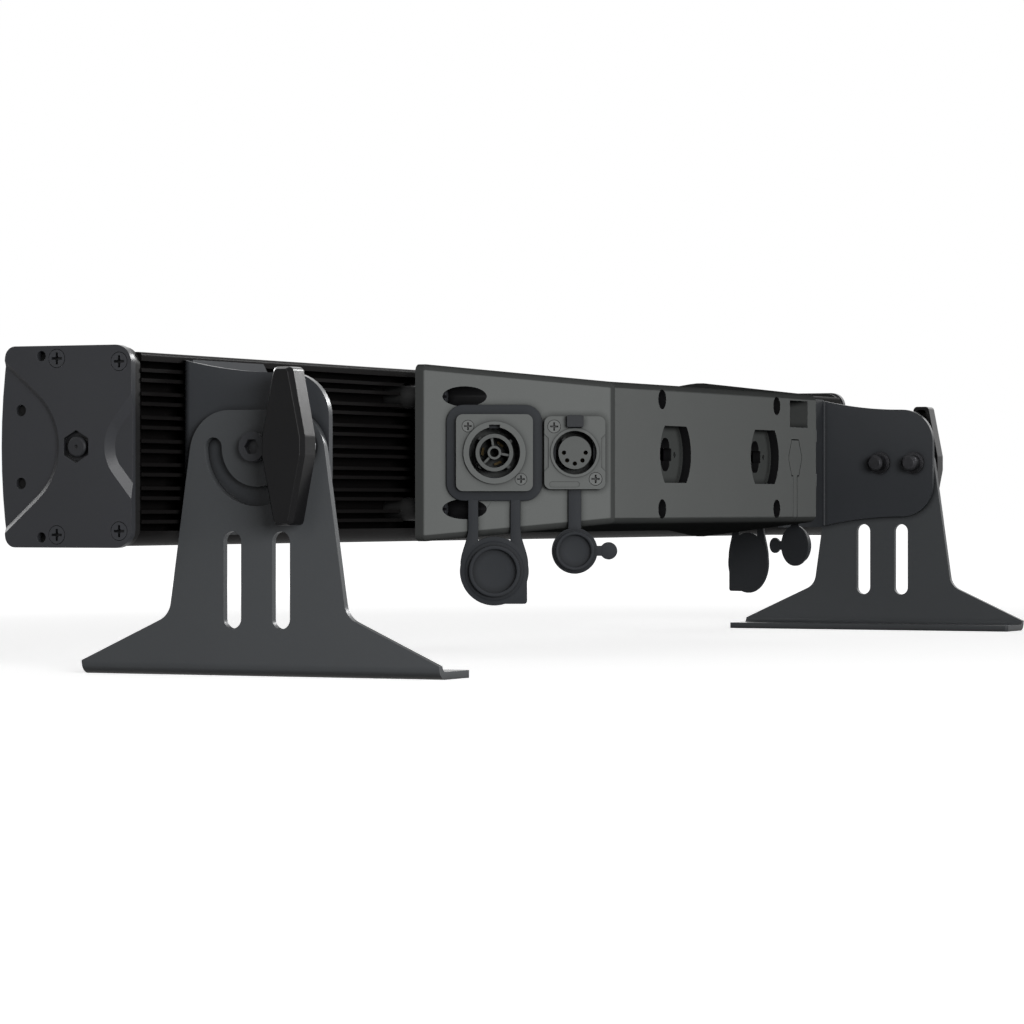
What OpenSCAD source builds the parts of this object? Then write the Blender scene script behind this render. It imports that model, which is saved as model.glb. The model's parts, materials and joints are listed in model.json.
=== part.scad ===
// Outdoor wall washer light: a finned bar between two tilting feet, with the
// connector housing on its back. X runs along the bar, +Y is the light side,
// Z is up. The origin is on the floor, in the middle of the object's outline.

/* [Bar] */
// Overall length over both end caps
bar_len = 764; // [600:1:1200]
// Height of the bar's middle and of the tilt axis above the floor
tilt_h = 88; // [84:0.5:120]
// Distance from the tilt axis to the tips of the cooling fins
rear_gap = 35; // [35:0.5:60]
// Depth of the extruded body, without its bezel
body_d = 52; // [46:0.5:70]
// Top of the body above the bar's middle
body_top = 36; // [34:0.1:38]
// Bottom of the body below the bar's middle
body_bottom = 38; // [35:0.1:40]
// Thickness of the body's walls
body_wall = 3; // [2:0.1:4]
// Radius of the smooth lower edge at the back
body_rear_r = 10; // [9:0.5:14]
// Radius of the body's other edges
body_edge_r = 1.5; // [0.5:0.1:3]

/* [Fins] */
// Number of cooling fins
fin_count = 14; // [6:2:16]
// Thickness of a fin
fin_t = 1.4; // [0.8:0.1:2]
// Depth of the gaps between the fins
fin_d = 9; // [5:0.5:12]
// How much nearer the two fins of a pair stand than two pairs
fin_pair_shift = 0.7; // [0:0.1:1]
// Lip above the top fin
fin_lip = 3.4; // [1:0.1:4]
// Smooth strip below the lowest fin
fin_strip = 5.8; // [5:0.1:12]

/* [End caps] */
// Depth of an end cap with its curved front
cap_d = 58.4; // [56:0.1:76]
// Half of an end cap's height
cap_half_h = 38.6; // [38.6:0.1:44]
// Thickness of an end cap
cap_t = 3.2; // [2.6:0.1:5]
// How far the cap's front edge bulges
cap_bulge = 2.9; // [1:0.1:5]
// Radius of the cap's front corners
cap_front_r = 4.5; // [2:0.5:8]
// Radius of the cap's rear corners
cap_rear_r = 7; // [4:0.5:9]
// Thickness of the end frame between body and cap
frame_t = 4.5; // [3:0.1:8]
// How far the end frame lies inside the cap's outline
frame_inset = 0.6; // [0.3:0.1:1.5]
// Depth of the lowered fields of the relief
relief_d = 1.3; // [0.5:0.1:2]
// Radius of the front field's rounded corner
relief_front_r = 26.5; // [18:0.5:32]
// Angle between the front field's sides and the cap's middle line
relief_front_angle = 41; // [36:1:60]
// Distance from the cap's rear edge to the front field
relief_front_y = 31.8; // [30:0.1:36]
// Radius of the rear field's rounded corner
relief_rear_r = 16.7; // [10:0.1:24]
// Angle between the rear field's sides and the cap's middle line
relief_rear_angle = 50; // [40:1:65]
// Distance from the cap's rear edge to the end of the rear field
relief_rear_y = 11.8; // [9:0.1:13]
// Width of the sloped band along the front field
relief_front_slope = 1.8; // [0.5:0.1:3]
// Width of the sloped band along the rear field
relief_rear_slope = 3.9; // [1:0.1:5]
// Diameter of the cap screw heads
cap_screw_d = 6.9; // [5:0.1:8]
// Shank diameter of the cap screws
cap_shank_d = 4; // [2.5:0.1:4.5]
// Diameter of the accessory holes near the cap's top and bottom
edge_hole_d = 3.9; // [3:0.1:5]
// Distance between those two holes
edge_hole_span = 69.4; // [66:0.1:71]
// Diameter of the accessory holes in the lowered front field
front_hole_d = 4.4; // [3:0.1:5]
// Distance between those two holes
front_hole_span = 28; // [20:0.5:40]
// Size of the hexagonal vent pocket over its corners
vent_pocket_d = 12.6; // [10:0.1:14]
// Diameter of the round vent plug
vent_d = 8.2; // [6:0.1:9]

/* [Light side] */
// Number of lenses
lens_count = 12; // [6:1:20]
// Outer diameter of a lens
lens_d = 36; // [24:0.5:44]
// Height of a lens
lens_h = 19; // [14:0.5:22]
// Thickness of the window glass
glass_t = 4; // [3:0.1:5]
// Thickness of the bezel in front of the glass
bezel_t = 2; // [1:0.1:3]
// Width of the bezel's top and bottom strips
bezel_w = 9; // [6:0.5:12]
// Thickness of the LED board
board_t = 1.6; // [1:0.1:3]

/* [Connector housing] */
// Half length of the flat middle panel
mid_half = 120.5; // [112:0.5:150]
// Angle between a slanted panel and the middle one
panel_angle = 62.9; // [50:0.1:75]
// Distance from the fins' tips to the housing's rim
rim_gap = 8; // [4:0.5:12]
// Depth of the straight shoulder next to the rim
shoulder_d = 4; // [3.5:0.1:8]
// Half height of the housing at the middle panel
mid_half_h = 30.5; // [30.5:0.1:34]
// Half height of the housing's rim behind the middle panel
mid_rim_h = 34.6; // [34.1:0.1:36]
// Half height of the housing at its shoulders
outer_half_h = 37.8; // [36:0.1:42]
// Radius of the housing's outer edges
house_r = 3.5; // [2:0.1:5]
// Wall thickness of the housing
house_wall = 4; // [3:0.1:4.5]
// Thickness of the seals
seal_t = 1.5; // [1:0.1:3]
// Distance between the quick-lock receptacles
lock_span = 106; // [90:1:110]
// Diameter of a quick-lock recess
lock_d = 35; // [30:0.5:38]
// Height of a quick-lock recess between its flats
lock_h = 25; // [20:0.5:28]
// Depth of a quick-lock recess
lock_depth = 5; // [4.6:0.1:6]
// Height of the key slot in a receptacle
key_h = 14.8; // [12:0.1:16]
// Width of the key slot
key_w = 9.5; // [8:0.1:11]
// Diameter of the housing's screw wells
well_d = 8.6; // [8:0.1:10]
// Distance between the screw wells of the middle panel
well_span = 136; // [130:0.5:145]
// Distance from the housing's ends to the screw wells of the slanted panels
well_edge = 8; // [7:0.1:12]
// Distance between the upper and lower wells
well_rise = 48; // [44:0.5:50]
// Width of the rectangular pocket
pocket_w = 22.9; // [16:0.1:26]
// Height of the rectangular pocket
pocket_h = 12.6; // [8:0.1:13]
// Depth of the rectangular pocket
pocket_d = 11; // [6:0.5:20]
// Width of the hexagonal plug over its side corners
plug_w = 16.3; // [12:0.1:20]
// Height of the hexagonal plug
plug_h = 16.7; // [12:0.1:20]
// Width of the plug's strap
plug_strap_w = 4.8; // [3:0.1:6]
// Shank diameter of the housing's and the ears' screws
screw_d = 4; // [3:0.1:5]

/* [Sockets] */
// Distance from the panel's outer edge to the power socket's gasket
panel_edge_out = 9.7; // [6:0.1:16]
// Distance between the power socket's gasket and the data socket
socket_gap = 0.8; // [0.3:0.1:4]
// Distance from the data socket to the panel's inner edge
panel_edge_in = 3.8; // [2:0.1:8]
// Side of the power socket's square flange
power_flange = 32.7; // [30:0.1:34]
// Side of the rubber gasket round it
gasket_side = 40.9; // [38:0.1:42]
// Thickness of the rubber gaskets
gasket_t = 1.2; // [0.8:0.1:1.5]
// Thickness of the socket flanges
flange_t = 2.2; // [1.6:0.1:3]
// Outer diameter of the power barrel
barrel_d = 26.5; // [24:0.1:28]
// Inner diameter of the power barrel
barrel_bore = 21.8; // [20:0.1:23]
// How far the barrel stands out of its flange
barrel_rise = 1.2; // [0.6:0.1:2]
// Outer diameter of the hub inside the barrel
hub_d = 16; // [14:0.1:17]
// Wall thickness of the hub and of the tube in its middle
hub_wall = 1.6; // [1:0.1:2]
// Depth of the sockets behind the panel
socket_depth = 15; // [12:0.5:20]
// Width of the data socket's flange
data_w = 26; // [24:0.1:27]
// Height of the data socket's flange
data_h = 31; // [29:0.1:32]
// Outer diameter of the data socket's ring
ring_d = 20.8; // [20:0.1:21]
// Inner diameter of the data socket's ring
ring_bore = 18.6; // [17.8:0.1:19]
// Diameter of the data socket's insert
insert_d = 14; // [12:0.1:14.2]
// Travel of the data socket's push latch
latch_travel = 1; // [0.5:0.1:1.2]

/* [Rubber caps] */
// Distance from the power socket to the middle of its hanging cap
power_drop = 50.4; // [50:0.1:56]
// Distance from the data socket to the middle of its hanging cap
data_drop = 41.8; // [40:0.1:46]
// Diameter of the power cap
power_cap_d = 29.4; // [28:0.1:31]
// Diameter of the data cap
data_cap_d = 19.6; // [19:0.1:20.4]
// Thickness of the caps' discs and straps
strap_t = 1.2; // [0.8:0.1:1.6]
// Width of a strap leg of the power cap
leg_w = 4.3; // [3:0.1:5]
// Distance between the two legs' middles
leg_span = 18; // [16:0.1:20]
// Width of the data cap's strap
data_strap_w = 5.5; // [4:0.1:7]

/* [Ears] */
// Distance from the bar's end to the outer face of an ear
ear_inset = 38; // [30:0.5:120]
// Thickness of the ear's and the foot's sheet
sheet_t = 3; // [2:0.1:4]
// Reach of the ear behind the tilt axis
ear_reach = 29.5; // [26:0.5:36]
// Half height of the ear at the bar
ear_root = 34; // [31:0.5:36]
// Half height of the ear at its narrow end
ear_waist = 28.3; // [22:0.1:30]
// Radius of the ear's end corners
ear_end_r = 17; // [10:0.5:20]
// Length of the flange that lies on the fins
ear_flange = 75; // [50:1:90]
// Cut-off corners of the flange
ear_cut = 14; // [6:0.5:20]

/* [Feet] */
// Half length of the sole, from the tilt axis
foot_half = 77.8; // [60:0.1:90]
// Width of the sole
sole_w = 27; // [20:0.5:40]
// Radius of the sole's corners
sole_r = 1.5; // [0.5:0.1:6]
// Flat top of the foot above the tilt axis
foot_top = 14.2; // [12:0.1:18]
// Half width of the foot at the tilt axis
foot_neck = 29.2; // [26:0.1:31]
// Half width of the foot where it flares
foot_waist = 38.5; // [34:0.1:40]
// Depth below the tilt axis at which it flares
waist_drop = 64.8; // [54:0.1:70]
// Height of the flare's lower end above the floor
flare_h = 5.2; // [4:0.1:8]
// Radius of the foot's top corners
foot_top_r = 17; // [10:0.5:18]
// Radius of the fold between upright and sole
fold_r = 5; // [4:0.1:6]
// Radius of the arc slot's middle line
arc_r = 19; // [17:0.1:20]
// Width of the arc slot
arc_w = 7.4; // [6.6:0.1:8]
// Distance between the two straight slots
slot_span = 21.2; // [18:0.1:30]
// Width of a straight slot
slot_w = 7.6; // [5:0.1:8]
// Length of a straight slot, end to end
slot_len = 37.3; // [20:0.1:40]
// Depth below the tilt axis of the straight slots' upper ends
slot_drop = 32.4; // [31:0.1:36]

/* [Clamp] */
// Shank diameter of the pivot screw and of the knob's stud
bolt_d = 6; // [5:0.1:6.2]
// Head diameter of the pivot screw
pivot_head_d = 11.3; // [10:0.1:14]
// Head height of the pivot screw
pivot_head_h = 3.8; // [3:0.1:4.4]
// Length of the wing knob
knob_len = 60; // [40:0.5:64]
// Width of the wing knob
knob_w = 18.5; // [14:0.1:22]
// Width of the knob's ends
knob_end = 8; // [6:0.1:10]
// Thickness of the knob's grip
knob_t = 10.6; // [8:0.1:12]
// Distance from the foot to the knob's front face
knob_out = 15.8; // [14:0.1:18]
// Collar diameter of the closed clinch nuts in the ears
nut_d = 11.5; // [9:0.1:13]
// How far the clinch nuts stick out behind the ear
nut_out = 9.2; // [8:0.1:14]
// How far the bolts stick out behind the ear
bolt_out = 6; // [2:0.1:6.5]

/* [Hidden] */
$fn = 64;

// Overrun of every cut
cut = 0.5;
// Gap between faces that slide past each other
slide_gap = 0.3;
// Radial clearance of a shaft in its bore
run_fit = 0.05;
// Radial clearance of a screw in a plain hole
screw_fit = 0.2;

// The outline's middle lies above the origin
tilt_y = (foot_half - rear_gap - cap_d) / 2;
body_len = bar_len - 2 * (cap_t + frame_t);
body_front = rear_gap + body_d;
web_back = rear_gap + fin_d;
web_front = web_back + body_wall;
cavity_top = body_top - body_wall;
cavity_bottom = body_bottom - body_wall;
cavity_h = cavity_top + cavity_bottom;
cavity_mid = (cavity_top - cavity_bottom) / 2;
fins_top = body_top - fin_lip;
fins_bottom = fin_strip - body_bottom;
fin_pitch = (fins_top - fins_bottom) / (fin_count + 0.4);

// Screws
screw_bite = fin_d + body_wall * 0.7;
screw_head_d = well_d - 4 * screw_fit;
screw_head_t = screw_d;
ear_screw_z = ear_root * 0.6;
ear_x = bar_len / 2 - ear_inset;

// End caps: screws from the cap's edges, holes as shares of its depth
cap_screw_corner = [5.4, 6.4];
cap_screw_mid = [32.9, 4.9];
edge_hole_share = 0.68;
front_hole_share = 0.85;
vent_share = 0.417;
edge_hole_y = rear_gap + edge_hole_share * cap_d;
front_hole_y = rear_gap + front_hole_share * cap_d;
vent_y = rear_gap + vent_share * cap_d;
head_t = cap_t * 0.7;
vent_sink = cap_t * 0.7;
vent_stem_d = vent_d * 0.7;
vent_round = vent_d * 0.08;

// Light side
glass_back = body_front - glass_t;
glass_ledge = body_wall;
lens_pitch = (body_len - lens_d) / lens_count;
board_front = web_front + board_t;
led_side = lens_d * 0.14;
led_h = led_side * 0.3;
lens_front = board_front + lens_h;
tray_t = body_wall * 0.7;
lens_rim_t = lens_h * 0.12;
tray_front = lens_front - lens_rim_t;

// Panels of the connector housing, long enough for their sockets
panel_len = panel_edge_out + gasket_side + socket_gap + data_w + panel_edge_in;
power_along = panel_edge_out + gasket_side / 2;
data_along = panel_len - panel_edge_in - data_w / 2;
outer_half = mid_half + panel_len * cos(panel_angle);
house_rim = rear_gap - rim_gap;
shoulder_y = house_rim - shoulder_d;
house_back = shoulder_y - panel_len * sin(panel_angle);
house_d = house_rim - house_back;
// Corner offset factors of the plan at the middle panel and at the shoulder
mid_factor = tan(panel_angle / 2);
shoulder_factor = tan((90 - panel_angle) / 2);

// Details of the connector housing
well_floor = shoulder_d * 1.5;
well_boss_d = well_d + house_wall;
post_d = well_d + house_wall / 3;
post_len = rim_gap + fin_d;
post_bore = post_len * 0.75;
pocket_wall = house_wall / 2;
pocket_share = 0.514;
pocket_rise_share = 0.679;
plug_share = 0.422;
lock_edge = (lock_span + lock_d) / 2;
pocket_x = lock_edge + pocket_share * (mid_half - lock_edge);
pocket_z = pocket_rise_share * mid_half_h;
plug_x = lock_edge + plug_share * (mid_half - lock_edge);
strap_sink = house_wall / 2;
plug_gap = 0.4;
driver_d = house_d * 0.42;
// The collar round the driver, which carries the seal
collar_t = house_wall / 2;
collar_half = well_span / 2 - well_boss_d * 0.6;
collar_half_h = mid_half_h - house_wall + collar_t * 1.25;

// Sockets
barrel_back = barrel_d - flange_t;
ring_back = ring_d + flange_t / 2;
ring_rise = barrel_rise / 2;
socket_floor = flange_t;
power_screw = power_flange * 0.345;
data_screw = [data_w * 0.34, data_h * 0.36];
power_screw_d = power_flange * 0.15;
data_screw_d = data_w * 0.205;
side_step = flange_t * 0.2;
latch_w = data_w * 0.275;
latch_y = ring_d / 2 + 1.5 * slide_gap;
latch_h = data_h * 0.515 - latch_y;
latch_stem_w = latch_w * 0.75;
latch_stem_h = latch_h * 0.65;
latch_pad_t = flange_t * 0.65;
contact_d = insert_d * 0.135;
cap_plug_h = flange_t * 1.3;

// Hinge lines of the rubber caps, seen from their sockets
power_face = gasket_t + flange_t + barrel_rise;
data_gasket_t = gasket_t * 2 / 3;
data_face = data_gasket_t + flange_t + ring_rise;
cap_step = strap_t / 2;
power_hinge_out = (power_face + 2 * slide_gap + strap_t + cap_step) / 2;
data_hinge_out = (data_face + 2 * slide_gap + strap_t) / 2;

// Faces of the foot and of what is clamped on it
foot_inner = ear_x + slide_gap;
foot_outer = foot_inner + sheet_t;
washer_t = bolt_d / 4;
washer_d = bolt_d * 2.5;
knob_front = foot_outer + knob_out;
bend_r = sheet_t * 1.3;
nut_body_d = nut_d * 0.75;
nut_round = nut_body_d * 0.14;
knob_wall = knob_w * 0.1;
hub_od = knob_w * 0.75;
knob_grip = knob_out * 0.55;
rubber = [0.2, 0.205, 0.21];
moulded = [0.33, 0.335, 0.33];

// Unit vector along v
function unit(v) = v / norm(v);
// Points of the rounded corner p between its neighbours a and b
function corner(a, p, b, r, n) =
    let (u = unit(a - p), v = unit(b - p), half = acos(u * v) / 2,
         mid = p + unit(u + v) * r / sin(half),
         s = p + u * r / tan(half) - mid, e = p + v * r / tan(half) - mid,
         from = atan2(s.y, s.x), turn = atan2(e.y, e.x) - from,
         sweep = turn > 180 ? turn - 360 : turn < -180 ? turn + 360 : turn)
    r <= 0 ? [p] : [for (i = [0:n]) mid + r * [cos(from + sweep * i / n), sin(from + sweep * i / n)]];
// Outline through pts whose corners have the radii given
function rounded(pts, radii, n = 8) =
    [for (i = [0:len(pts) - 1])
        each corner(pts[(i + len(pts) - 1) % len(pts)], pts[i], pts[(i + 1) % len(pts)], radii[i], n)];
// Middle of fin i above the bar's middle
function fin_z(i) = (fins_top + fins_bottom) / 2 + ((fin_count - 1) / 2 - i) * fin_pitch
    + (i % 2 == 0 ? -fin_pair_shift : fin_pair_shift) / 2;

// Everything is drawn from the tilt axis, at the bar's middle
module from_axis() {
    translate([0, tilt_y, tilt_h]) children();
}
// An outline in Y and Z, drawn out along X
module along_x(length) {
    rotate([90, 0, 90]) linear_extrude(length) children();
}
// An outline in X and Z, drawn out towards the back
module backwards(length) {
    rotate([90, 0, 0]) linear_extrude(length) children();
}
module both_ends() {
    children();
    mirror([1, 0, 0]) children();
}
module both_heights(z) {
    for (s = [-1, 1]) translate([0, 0, s * z]) children();
}
module rod_x(d, length) {
    rotate([0, 90, 0]) cylinder(d = d, h = length);
}
module rod_y(d, length) {
    rotate([-90, 0, 0]) cylinder(d = d, h = length);
}
module rounded_box(w, h, r) {
    polygon(rounded([[-w / 2, -h / 2], [w / 2, -h / 2], [w / 2, h / 2], [-w / 2, h / 2]], [r, r, r, r]));
}
// Cross recess of a screw head, cut downwards from z = 0
module cross_recess(d) {
    for (a = [0, 90]) rotate(a) translate([-d * 0.33, -d * 0.07, -d * 0.28])
        cube([d * 0.66, d * 0.14, d * 0.28 + cut]);
    translate([0, 0, -d * 0.28]) cylinder(d1 = d * 0.1, d2 = d * 0.34, h = d * 0.28 + cut);
}
// Local frame of a slanted panel: x to the right as seen from outside, y up, z outwards
module on_panel(side, along) {
    if (side < 0)
        translate([-outer_half, shoulder_y, 0]) rotate([90, 0, -panel_angle])
            translate([along, 0, 0]) children();
    else
        translate([mid_half, house_back, 0]) rotate([90, 0, panel_angle])
            translate([panel_len - along, 0, 0]) children();
}

// The extruded body

module body_section() {
    difference() {
        polygon(rounded([[rear_gap, body_top], [rear_gap, -body_bottom], [body_front, -body_bottom],
            [body_front, body_top]], [body_edge_r, body_rear_r, body_edge_r, body_edge_r]));
        translate([rear_gap - cut, fins_bottom]) square([fin_d + cut, fins_top - fins_bottom]);
        translate([web_front, -cavity_bottom]) square([body_d, cavity_h]);
    }
    for (i = [0:fin_count - 1])
        translate([rear_gap, fin_z(i) - fin_t / 2]) square([fin_d + cut, fin_t]);
    // Ledges that carry the window's seal
    for (z = [cavity_top - glass_ledge, -cavity_bottom - cut])
        translate([glass_back - seal_t - glass_ledge, z]) square([glass_ledge, glass_ledge + cut]);
}

module bar_body() {
    color([0.13, 0.13, 0.13]) from_axis() difference() {
        union() {
            translate([-body_len / 2, 0, 0]) along_x(body_len) body_section();
            // Flat seat of the housing's seal and of the driver
            translate([0, web_back + cut, 0]) backwards(fin_d + cut) collar_outline(collar_t);
        }
        // Room for the housing's posts between the fins, and their seats in the web
        at_wells() {
            translate([0, rear_gap - cut, 0]) rod_y(post_d * 1.25, fin_d + cut);
            translate([0, web_back - cut, 0]) rod_y(screw_d + 2 * run_fit, body_wall * 0.7 + cut);
        }
        // Threads of the ears' screws
        for (x = ear_screw_places()) both_heights(ear_screw_z)
            translate([x, rear_gap - cut, 0]) rod_y(screw_d + 2 * run_fit, screw_bite + cut);
    }
}
function well_places() = [for (s = [-1, 1], x = [well_span / 2, outer_half - well_edge]) s * x];
function ear_screw_places() = [for (s = [-1, 1], f = [0.3, 0.62]) s * (ear_x - ear_flange * f)];

// End frames and end caps

module cap_outline(inset) {
    front = rear_gap + cap_d - inset;
    back = rear_gap + inset;
    half = cap_half_h - inset;
    bulge_r = (pow(half, 2) + pow(cap_bulge, 2)) / (2 * cap_bulge);
    steps = 4;
    arc = [for (i = [1 - steps:steps - 1]) let (z = half * i / steps)
        [front - bulge_r + sqrt(pow(bulge_r, 2) - pow(z, 2)), z]];
    edge = front - cap_bulge;
    polygon(rounded(concat([[back, half], [back, -half], [edge, -half]], arc, [[edge, half]]),
        concat([cap_rear_r, cap_rear_r, cap_front_r], [for (p = arc) 0], [cap_front_r])));
}
module end_frame() {
    translate([body_len / 2, 0, 0]) difference() {
        along_x(frame_t) difference() {
            cap_outline(frame_inset);
            translate([web_front + body_wall, -cavity_bottom + body_wall])
                square([body_front - web_front - 4 * body_wall, cavity_h - 2 * body_wall]);
        }
        for (p = cap_screw_places()) translate([-cut, p.x, p.y])
            rod_x(cap_shank_d + 2 * run_fit, frame_t + 2 * cut);
    }
}
module end_frames() {
    color([0.11, 0.11, 0.11]) from_axis() both_ends() end_frame();
}
// Places of the cap screws in Y and Z
function cap_screw_places() = [for (s = [-1, 1], p = [cap_screw_corner, cap_screw_mid])
    [rear_gap + p.x, s * (cap_half_h - p.y)]];

// A field of the relief: lowered within a rounded corner that opens towards +Y,
// with a sloped band along its sides
module relief_field(angle, r, slope) {
    hull() {
        translate([cap_t - relief_d, 0, 0]) along_x(relief_d / 2) field_outline(angle, r, slope);
        translate([cap_t, 0, 0]) along_x(cut) field_outline(angle, r, 0);
    }
}
module field_outline(angle, r, inset) {
    tip = r - (r - inset) / sin(angle);
    half = (cap_d - tip) * tan(angle);
    polygon(rounded([[tip, 0], [cap_d, -half], [cap_d, half]], [r - inset, 0, 0], 14));
}
module end_cap() {
    translate([bar_len / 2 - cap_t, 0, 0]) difference() {
        along_x(cap_t) cap_outline(0);
        translate([0, rear_gap + relief_front_y, 0])
            relief_field(relief_front_angle, relief_front_r, relief_front_slope);
        translate([0, rear_gap + relief_rear_y, 0]) mirror([0, 1, 0])
            relief_field(relief_rear_angle, relief_rear_r, relief_rear_slope);
        for (p = cap_screw_places()) translate([0, p.x, p.y]) {
            translate([-cut, 0, 0]) rod_x(cap_shank_d + 2 * screw_fit, cap_t + 2 * cut);
            translate([cap_t - head_t, 0, 0]) rod_x(cap_screw_d + 2 * screw_fit, head_t + cut);
        }
        for (s = [-1, 1]) {
            translate([-cut, edge_hole_y, s * edge_hole_span / 2]) rod_x(edge_hole_d, cap_t + 2 * cut);
            translate([-cut, front_hole_y, s * front_hole_span / 2]) rod_x(front_hole_d, cap_t + 2 * cut);
        }
        translate([cap_t - vent_sink, vent_y, 0]) along_x(vent_sink + cut)
            rotate(30) circle(d = vent_pocket_d, $fn = 6);
        translate([-cut, vent_y, 0]) rod_x(vent_stem_d + 2 * screw_fit, cap_t + 2 * cut);
    }
}

module end_cap_left() {
    color([0.21, 0.215, 0.22]) from_axis() mirror([1, 0, 0]) end_cap();
}
module end_cap_right() {
    color([0.21, 0.215, 0.22]) from_axis() end_cap();
}
module cap_screws() {
    color([0.16, 0.16, 0.17]) from_axis() both_ends() for (p = cap_screw_places())
        translate([bar_len / 2, p.x, p.y]) rotate([0, 90, 0]) difference() {
            union() {
                translate([0, 0, -head_t]) cylinder(d = cap_screw_d, h = head_t);
                translate([0, 0, -cap_t - frame_t])
                    cylinder(d = cap_shank_d, h = cap_t + frame_t - head_t + cut);
            }
            cross_recess(cap_screw_d);
        }
}
module vent_plugs() {
    color([0.14, 0.14, 0.15]) from_axis() both_ends()
        translate([bar_len / 2, vent_y, 0]) rotate([0, 90, 0]) {
        difference() {
            union() {
                translate([0, 0, -vent_sink]) cylinder(d = vent_d, h = vent_sink - vent_round);
                translate([0, 0, -vent_round])
                    cylinder(d1 = vent_d, d2 = vent_d - 2 * vent_round, h = vent_round);
            }
            translate([0, 0, -vent_round]) cylinder(d = vent_round * 2, h = vent_round + cut);
        }
        translate([0, 0, -cap_t]) cylinder(d = vent_stem_d, h = cap_t - vent_sink + cut / 2);
    }
}

// Light side: board, LEDs, lenses, tray, glass and bezel

function lens_x(i) = (i - (lens_count - 1) / 2) * lens_pitch;

module led_board() {
    color([0.85, 0.86, 0.84]) from_axis()
        translate([-body_len / 2 + body_wall, web_front, cavity_mid - cavity_h * 0.35])
            cube([body_len - 2 * body_wall, board_t, cavity_h * 0.7]);
}
module leds() {
    color([0.95, 0.9, 0.55]) from_axis() for (i = [0:lens_count - 1])
        translate([lens_x(i), board_front, cavity_mid]) rotate([-90, 0, 0]) {
            translate([-led_side / 2, -led_side / 2, 0]) cube([led_side, led_side, led_h]);
            cylinder(d = led_side * 0.7, h = led_h * 1.5);
        }
}
module lens() {
    difference() {
        rotate_extrude() polygon([[0, 0], [lens_d * 0.19, 0], [lens_d * 0.36, lens_h * 0.45],
            [lens_d * 0.44, lens_h * 0.8], [lens_d * 0.45, lens_h - lens_rim_t],
            [lens_d / 2, lens_h - lens_rim_t], [lens_d / 2, lens_h], [0, lens_h]]);
        translate([0, 0, -cut]) cylinder(d1 = lens_d * 0.3, d2 = lens_d * 0.24, h = lens_h * 0.35 + cut);
    }
}
module lenses() {
    color([0.9, 0.93, 0.95, 0.6]) from_axis() for (i = [0:lens_count - 1])
        translate([lens_x(i), board_front, cavity_mid]) rotate([-90, 0, 0]) lens();
}
module lens_tray() {
    tray_h = cavity_h - 2 * screw_fit;
    color([0.08, 0.08, 0.08]) from_axis() translate([0, 0, cavity_mid]) difference() {
        translate([-body_len / 2 + body_wall, web_front, -tray_h / 2])
            cube([body_len - 2 * body_wall, tray_front - web_front, tray_h]);
        translate([-body_len / 2, web_front - cut, -tray_h / 2 + tray_t])
            cube([body_len, tray_front - tray_t - web_front + cut, tray_h - 2 * tray_t]);
        for (i = [0:lens_count - 1]) translate([lens_x(i), tray_front - tray_t - cut, 0])
            rod_y(lens_d * 0.9 + 2 * screw_fit, tray_t + 2 * cut);
    }
}
module window_strip(y, t, inset) {
    translate([-body_len / 2 + screw_fit, y, -cavity_bottom + screw_fit + inset])
        cube([body_len - 2 * screw_fit, t, cavity_h - 2 * screw_fit - 2 * inset]);
}
module front_glass() {
    color([0.75, 0.8, 0.82, 0.4]) from_axis() window_strip(glass_back, glass_t, 0);
}
module glass_seal() {
    color([0.1, 0.1, 0.1]) from_axis() difference() {
        window_strip(glass_back - seal_t, seal_t, 0);
        translate([-body_len / 2 + glass_ledge, glass_back - seal_t - cut, -cavity_bottom + glass_ledge])
            cube([body_len - 2 * glass_ledge, seal_t + 2 * cut, cavity_h - 2 * glass_ledge]);
    }
}
module front_bezel() {
    color([0.11, 0.11, 0.11]) from_axis() translate([-body_len / 2, body_front, 0]) difference() {
        translate([0, 0, -body_bottom]) cube([body_len, bezel_t, body_top + body_bottom]);
        translate([bezel_w, -cut, -body_bottom + bezel_w])
            cube([body_len - 2 * bezel_w, bezel_t + 2 * cut, body_top + body_bottom - 2 * bezel_w]);
    }
}

// Connector housing

// Rounded corners of the outer form at one place along the housing
module form_balls(x, y, z) {
    for (s = [-1, 1]) translate([x, y, s * (z - house_r)]) sphere(house_r, $fn = 28);
}
// Outer form: a block behind the middle panel, and one behind each slanted panel that
// grows in height from the middle panel over the slanted one to the shoulder
module house_form() {
    near_x = mid_half - mid_factor * house_r;
    far_x = outer_half - house_r;
    near_y = house_back + house_r;
    rim_y = house_rim + 3 * house_r;
    rim_half_h = mid_half_h + (mid_rim_h - mid_half_h) * (rim_y - near_y) / (house_rim - near_y);
    intersection() {
        union() {
            hull() for (s = [-1, 1]) {
                form_balls(s * near_x, near_y, mid_half_h);
                form_balls(s * near_x, rim_y, rim_half_h);
            }
            for (s = [-1, 1]) hull() {
                form_balls(s * near_x, near_y, mid_half_h);
                form_balls(s * near_x, rim_y, rim_half_h);
                form_balls(s * far_x, shoulder_y + shoulder_factor * house_r, outer_half_h);
                form_balls(s * far_x, rim_y, outer_half_h);
            }
        }
        translate([-outer_half - cut, house_back - cut, -outer_half_h - cut])
            cube([2 * (outer_half + cut), house_d + cut, 2 * (outer_half_h + cut)]);
    }
}
module house_cavity() {
    inner_h = mid_half_h - house_wall;
    mid_x = mid_half - mid_factor * house_wall;
    far_x = outer_half - house_wall;
    translate([0, 0, -inner_h]) linear_extrude(2 * inner_h)
        polygon([[-mid_x, house_back + house_wall], [mid_x, house_back + house_wall],
            [far_x, shoulder_y + shoulder_factor * house_wall], [far_x, house_rim + cut],
            [-far_x, house_rim + cut], [-far_x, shoulder_y + shoulder_factor * house_wall]]);
}
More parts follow.
